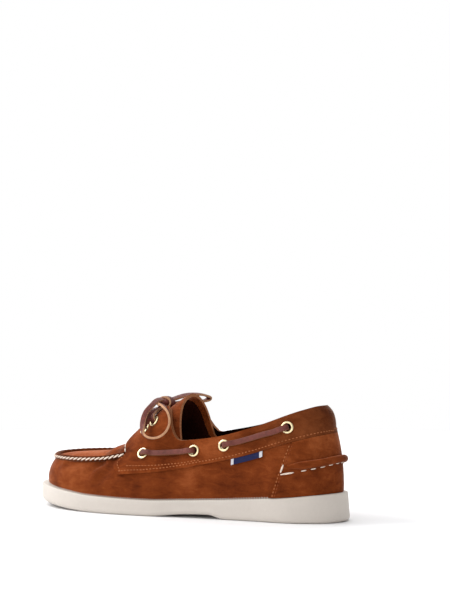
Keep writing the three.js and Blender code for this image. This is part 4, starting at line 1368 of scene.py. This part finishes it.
class SHOE_OT_eyelets(bpy.types.Operator):
    """Twelve pale brass eyelets with rolled flanges"""
    bl_idname = "shoe.eyelets"
    bl_label = "Eyelets"

    def execute(self, context):
        last = the_last()
        seat = rear_of(last) + 0.1 * MM
        for name, (place, normal) in eyelet_spots(last).items():
            bm = bmesh.new()
            verts = [bm.verts.new((r * MM, 0, h * MM)) for r, h in EYELET_SECTION]
            edges = [bm.edges.new(pair) for pair in zip(verts, verts[1:] + verts[:1])]
            bmesh.ops.spin(bm, geom=verts + edges, cent=(0, 0, 0), axis=(0, 0, 1), angle=math.tau,
                           steps=32, use_merge=True)
            bmesh.ops.remove_doubles(bm, verts=bm.verts, dist=0.000005)
            bmesh.ops.recalc_face_normals(bm, faces=bm.faces)
            bmesh.ops.transform(bm, matrix=standing(place + normal * seat, normal), verts=bm.verts)
            piece(helper(f"{name}_ring", bm, "brass"), "pale_brass", name, angle=50)
        return {"FINISHED"}


def strand(name, path, cut, *nodes):
    """Stretch of the flat lace along a path, its cut edges in a finish of their own."""
    section, edges = lace_section(bpy.context.scene.shoe_sizes)
    made = tube(name, path, section, ["rawhide", cut], edges)
    return piece(made, "rawhide", *nodes, angle=60)


class SHOE_OT_bars(bpy.types.Operator):
    """Lace bars along the sides and the crossing over the tongue"""
    bl_idname = "shoe.bars"
    bl_label = "Lace bars"

    def execute(self, context):
        last = the_last()
        spots = eyelet_spots(last)
        rest = rear_of(last) + 0.4 * MM + last.sizes.lace_thickness / 2
        for side, column in COLUMN.items():
            for end, (front, rear) in (("front", (1, 2)), ("rear", (3, 4))):
                a, b = SIDE_EYELETS[front - 1], SIDE_EYELETS[rear - 1]
                middles = []
                for t in (0.2, 0.35, 0.5, 0.65, 0.8):
                    height = a[column] + t * (b[column] - a[column]) - BAR_SAG * t * (1 - t)
                    place, normal = last.spot(side, a[0] + t * (b[0] - a[0]), height, 0.0)
                    middles.append((place + normal * rest, normal))
                ends = [spots[f"eyelet_{side}_{number}"] for number in (front, rear)]
                strand(f"bar_{side}_{end}", self.path(last, ends, middles), "bar_edge",
                       f"lace_{side}_{end}")
        ends = [spots[f"eyelet_throat_{side}_1"] for side in COLUMN]
        middles = []
        for t in (0.3, 0.5, 0.7):
            over = ends[0][0].lerp(ends[1][0], t)
            start = Vector((over.x, over.y + 1.5 * MM, 0.2))
            place, normal, _, _ = last.tree(0.0).ray_cast(start, -UP)
            middles.append((place + normal * rest, normal))
        strand("crossing_strand", self.path(last, ends, middles), "bar_edge", "lace_crossing")
        return {"FINISHED"}

    def path(self, last, ends, middles):
        """Path out of one eyelet, over places between and into the other eyelet."""
        first = leave_eyelet(last, ends[0], middles[0][0])
        second = leave_eyelet(last, ends[1], middles[-1][0])
        return smooth_path([*first, *middles, *reversed(second)], 6)


def place_of(last, row):
    across, along, height = row[:3]
    sizes = last.sizes
    return Vector((across * sizes.ball_width, last.y(along), height * sizes.instep_height)) + ROW_SHIFT


def free_stops(last, rows):
    return [(place_of(last, row), Vector(row[3:]).normalized()) for row in rows]


class SHOE_OT_bow(bpy.types.Operator):
    """Bow of the lace: two loops and two ends as cords, and the knot with its legs"""
    bl_idname = "shoe.bow"
    bl_label = "Bow"

    def execute(self, context):
        last = the_last()
        knot = self.tie(last)
        for name, rows in FREE_LACE.items():
            path = smooth_path(free_stops(last, rows), 8)
            made = strand(f"{name}_strand", path, "lace_edge", f"lace_{name}")
        return {"FINISHED"}

    def tie(self, last):
        """Knot: a small core, a strand wrapped round it, tucked strands and the two legs."""
        middle = place_of(last, KNOT)
        core = Vector(KNOT_RADII) * last.sizes.lace_width * KNOT_CORE
        bm = bmesh.new()
        bmesh.ops.create_uvsphere(bm, u_segments=32, v_segments=16, radius=1,
                                  matrix=Matrix.Translation(middle) @ Matrix.Diagonal((*core, 1)))
        knot = [piece(helper("knot_core", bm, "rawhide", "lace_edge"), "rawhide", "lace_knot")]
        reach = Vector((core.x * 0.5, core.y + 0.9 * MM, core.z + 0.9 * MM))
        for name, lean, move in (("knot_wrap", 0.35, -0.6), ("knot_cross", -0.9, 2.6)):
            ring = []
            for i in range(33):
                turn = math.tau * (i / 32 - 0.22)
                out = Vector((lean * math.sin(turn) * 0.5, math.cos(turn), math.sin(turn)))
                place = middle + Vector((move * MM, 0, 0)) + out * reach
                ring.append((place, Vector((0, out.y, out.z)).normalized()))
            knot.append(strand(name, ring, "lace_edge"))
        for name, rows in FREE_LACE.items():
            tucks = {name: rows[0], f"{name}_back": rows[-1]} if "loop" in name else {name: rows[0]}
            for tuck, row in tucks.items():
                (place, face), = free_stops(last, [row])
                halfway = middle.lerp(place, 0.6) + face * 0.5 * MM
                stops = [(place, face), (halfway, face), (middle.lerp(place, 0.15), face)]
                knot.append(strand(f"tuck_{tuck}", smooth_path(stops, 5), "lace_edge"))
        spots = eyelet_spots(last)
        for side in COLUMN:
            stops = leave_eyelet(last, spots[f"eyelet_throat_{side}_2"], middle)
            strand(f"leg_{side}", smooth_path([*stops, (middle, UP)], 6), "lace_edge")
        return knot


class SHOE_OT_rows(bpy.types.Operator):
    """Rows of machine stitches on the band, the wings and the counter"""
    bl_idname = "shoe.rows"
    bl_label = "Stitch rows"

    def execute(self, context):
        last = the_last()
        offset = rear_of(last)
        for row in BAND_ROWS:
            self.band_row(last, offset, *row)
        (foot, low, _), (top, high, _) = COUNTER_LINE[1:]
        lean = (top - foot) / (high - low)
        for side in COLUMN:
            rows = [(along - 0.012, a + 0.02, b + 0.02) for along, a, b in WING_FRONT[:3]]
            dot_row(f"wing_stitches_{side}", side_line(last, side, rows, offset), 2.8 * MM, last)
            rows = [(along + 0.005, a, b) for along, a, b in WING_FRONT[3:8]]
            edge = side_line(last, side, rows, 0.8 * MM)
            stitch_row(f"wing_thread_{side}", walk(edge, 6.4 * MM, 3 * MM), 0.6 * MM, 5.8 * MM,
                       "cream_thread")
            for name, shift, thread in (("front", -0.007, "brown_thread"),
                                        ("rear", -0.014, "dark_thread")):
                rows = [(foot + lean * (h - low) + shift, h, h) for h in (0.215, 0.35, 0.48, 0.625)]
                seam = side_line(last, side, rows, offset)
                dot_row(f"counter_stitches_{side}_{name}", seam, 3.0 * MM, last, thread)
        return {"FINISHED"}

    def band_row(self, last, offset, name, lift, grow, rear, front):
        """One row over the band's lower edge, between two shares of the length."""
        band = line_height(BAND_LINE)

        def height_of(along):
            return tuple(h + lift + grow * max(0.0, along - rear) for h in band(along))

        line = [last.ring_spot(0.345 - 0.69 * i / 260, height_of, offset) for i in range(261)]
        dots = [spot for spot in walk(line, 3.0 * MM)
                if rear < spot[0].y / last.sizes.sole_length + 0.5 < front]
        stitch_row(f"band_stitches_{name}", dots, last.sizes.fine_thread, 1.9 * MM, "brown_thread", 6, 4)


OPERATORS = (
    SHOE_OT_stage, SHOE_OT_bow, SHOE_OT_sole, SHOE_OT_insole, SHOE_OT_upper, SHOE_OT_tongue,
    SHOE_OT_overlays, SHOE_OT_label, SHOE_OT_seams, SHOE_OT_eyelets, SHOE_OT_bars, SHOE_OT_rows,
)


class SHOE_PT_panel(bpy.types.Panel):
    """Pieces of the shoe and the sizes and colours that can be changed"""
    bl_idname = "SHOE_PT_panel"
    bl_label = "Boat shoe"
    bl_space_type = "VIEW_3D"
    bl_region_type = "UI"
    bl_category = "Shoe"

    def draw(self, context):
        for group in (context.scene.shoe_sizes, context.scene.shoe_colours):
            for key in group.bl_rna.properties.keys():
                if key not in {"rna_type", "name"}:
                    self.layout.prop(group, key)
        for operator in OPERATORS:
            self.layout.operator(operator.bl_idname)


CLASSES = (ShoeSizes, ShoeColours, *OPERATORS, SHOE_PT_panel)


def register():
    for kind in CLASSES:
        bpy.utils.register_class(kind)
    bpy.types.Scene.shoe_sizes = PointerProperty(type=ShoeSizes)
    bpy.types.Scene.shoe_colours = PointerProperty(type=ShoeColours)


def unregister():
    del bpy.types.Scene.shoe_colours
    del bpy.types.Scene.shoe_sizes
    for kind in reversed(CLASSES):
        bpy.utils.unregister_class(kind)


def main():
    register()
    for operator in OPERATORS:
        group, name = operator.bl_idname.split(".")
        getattr(getattr(bpy.ops, group), name)()
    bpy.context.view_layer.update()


if __name__ == "__main__":
    main()
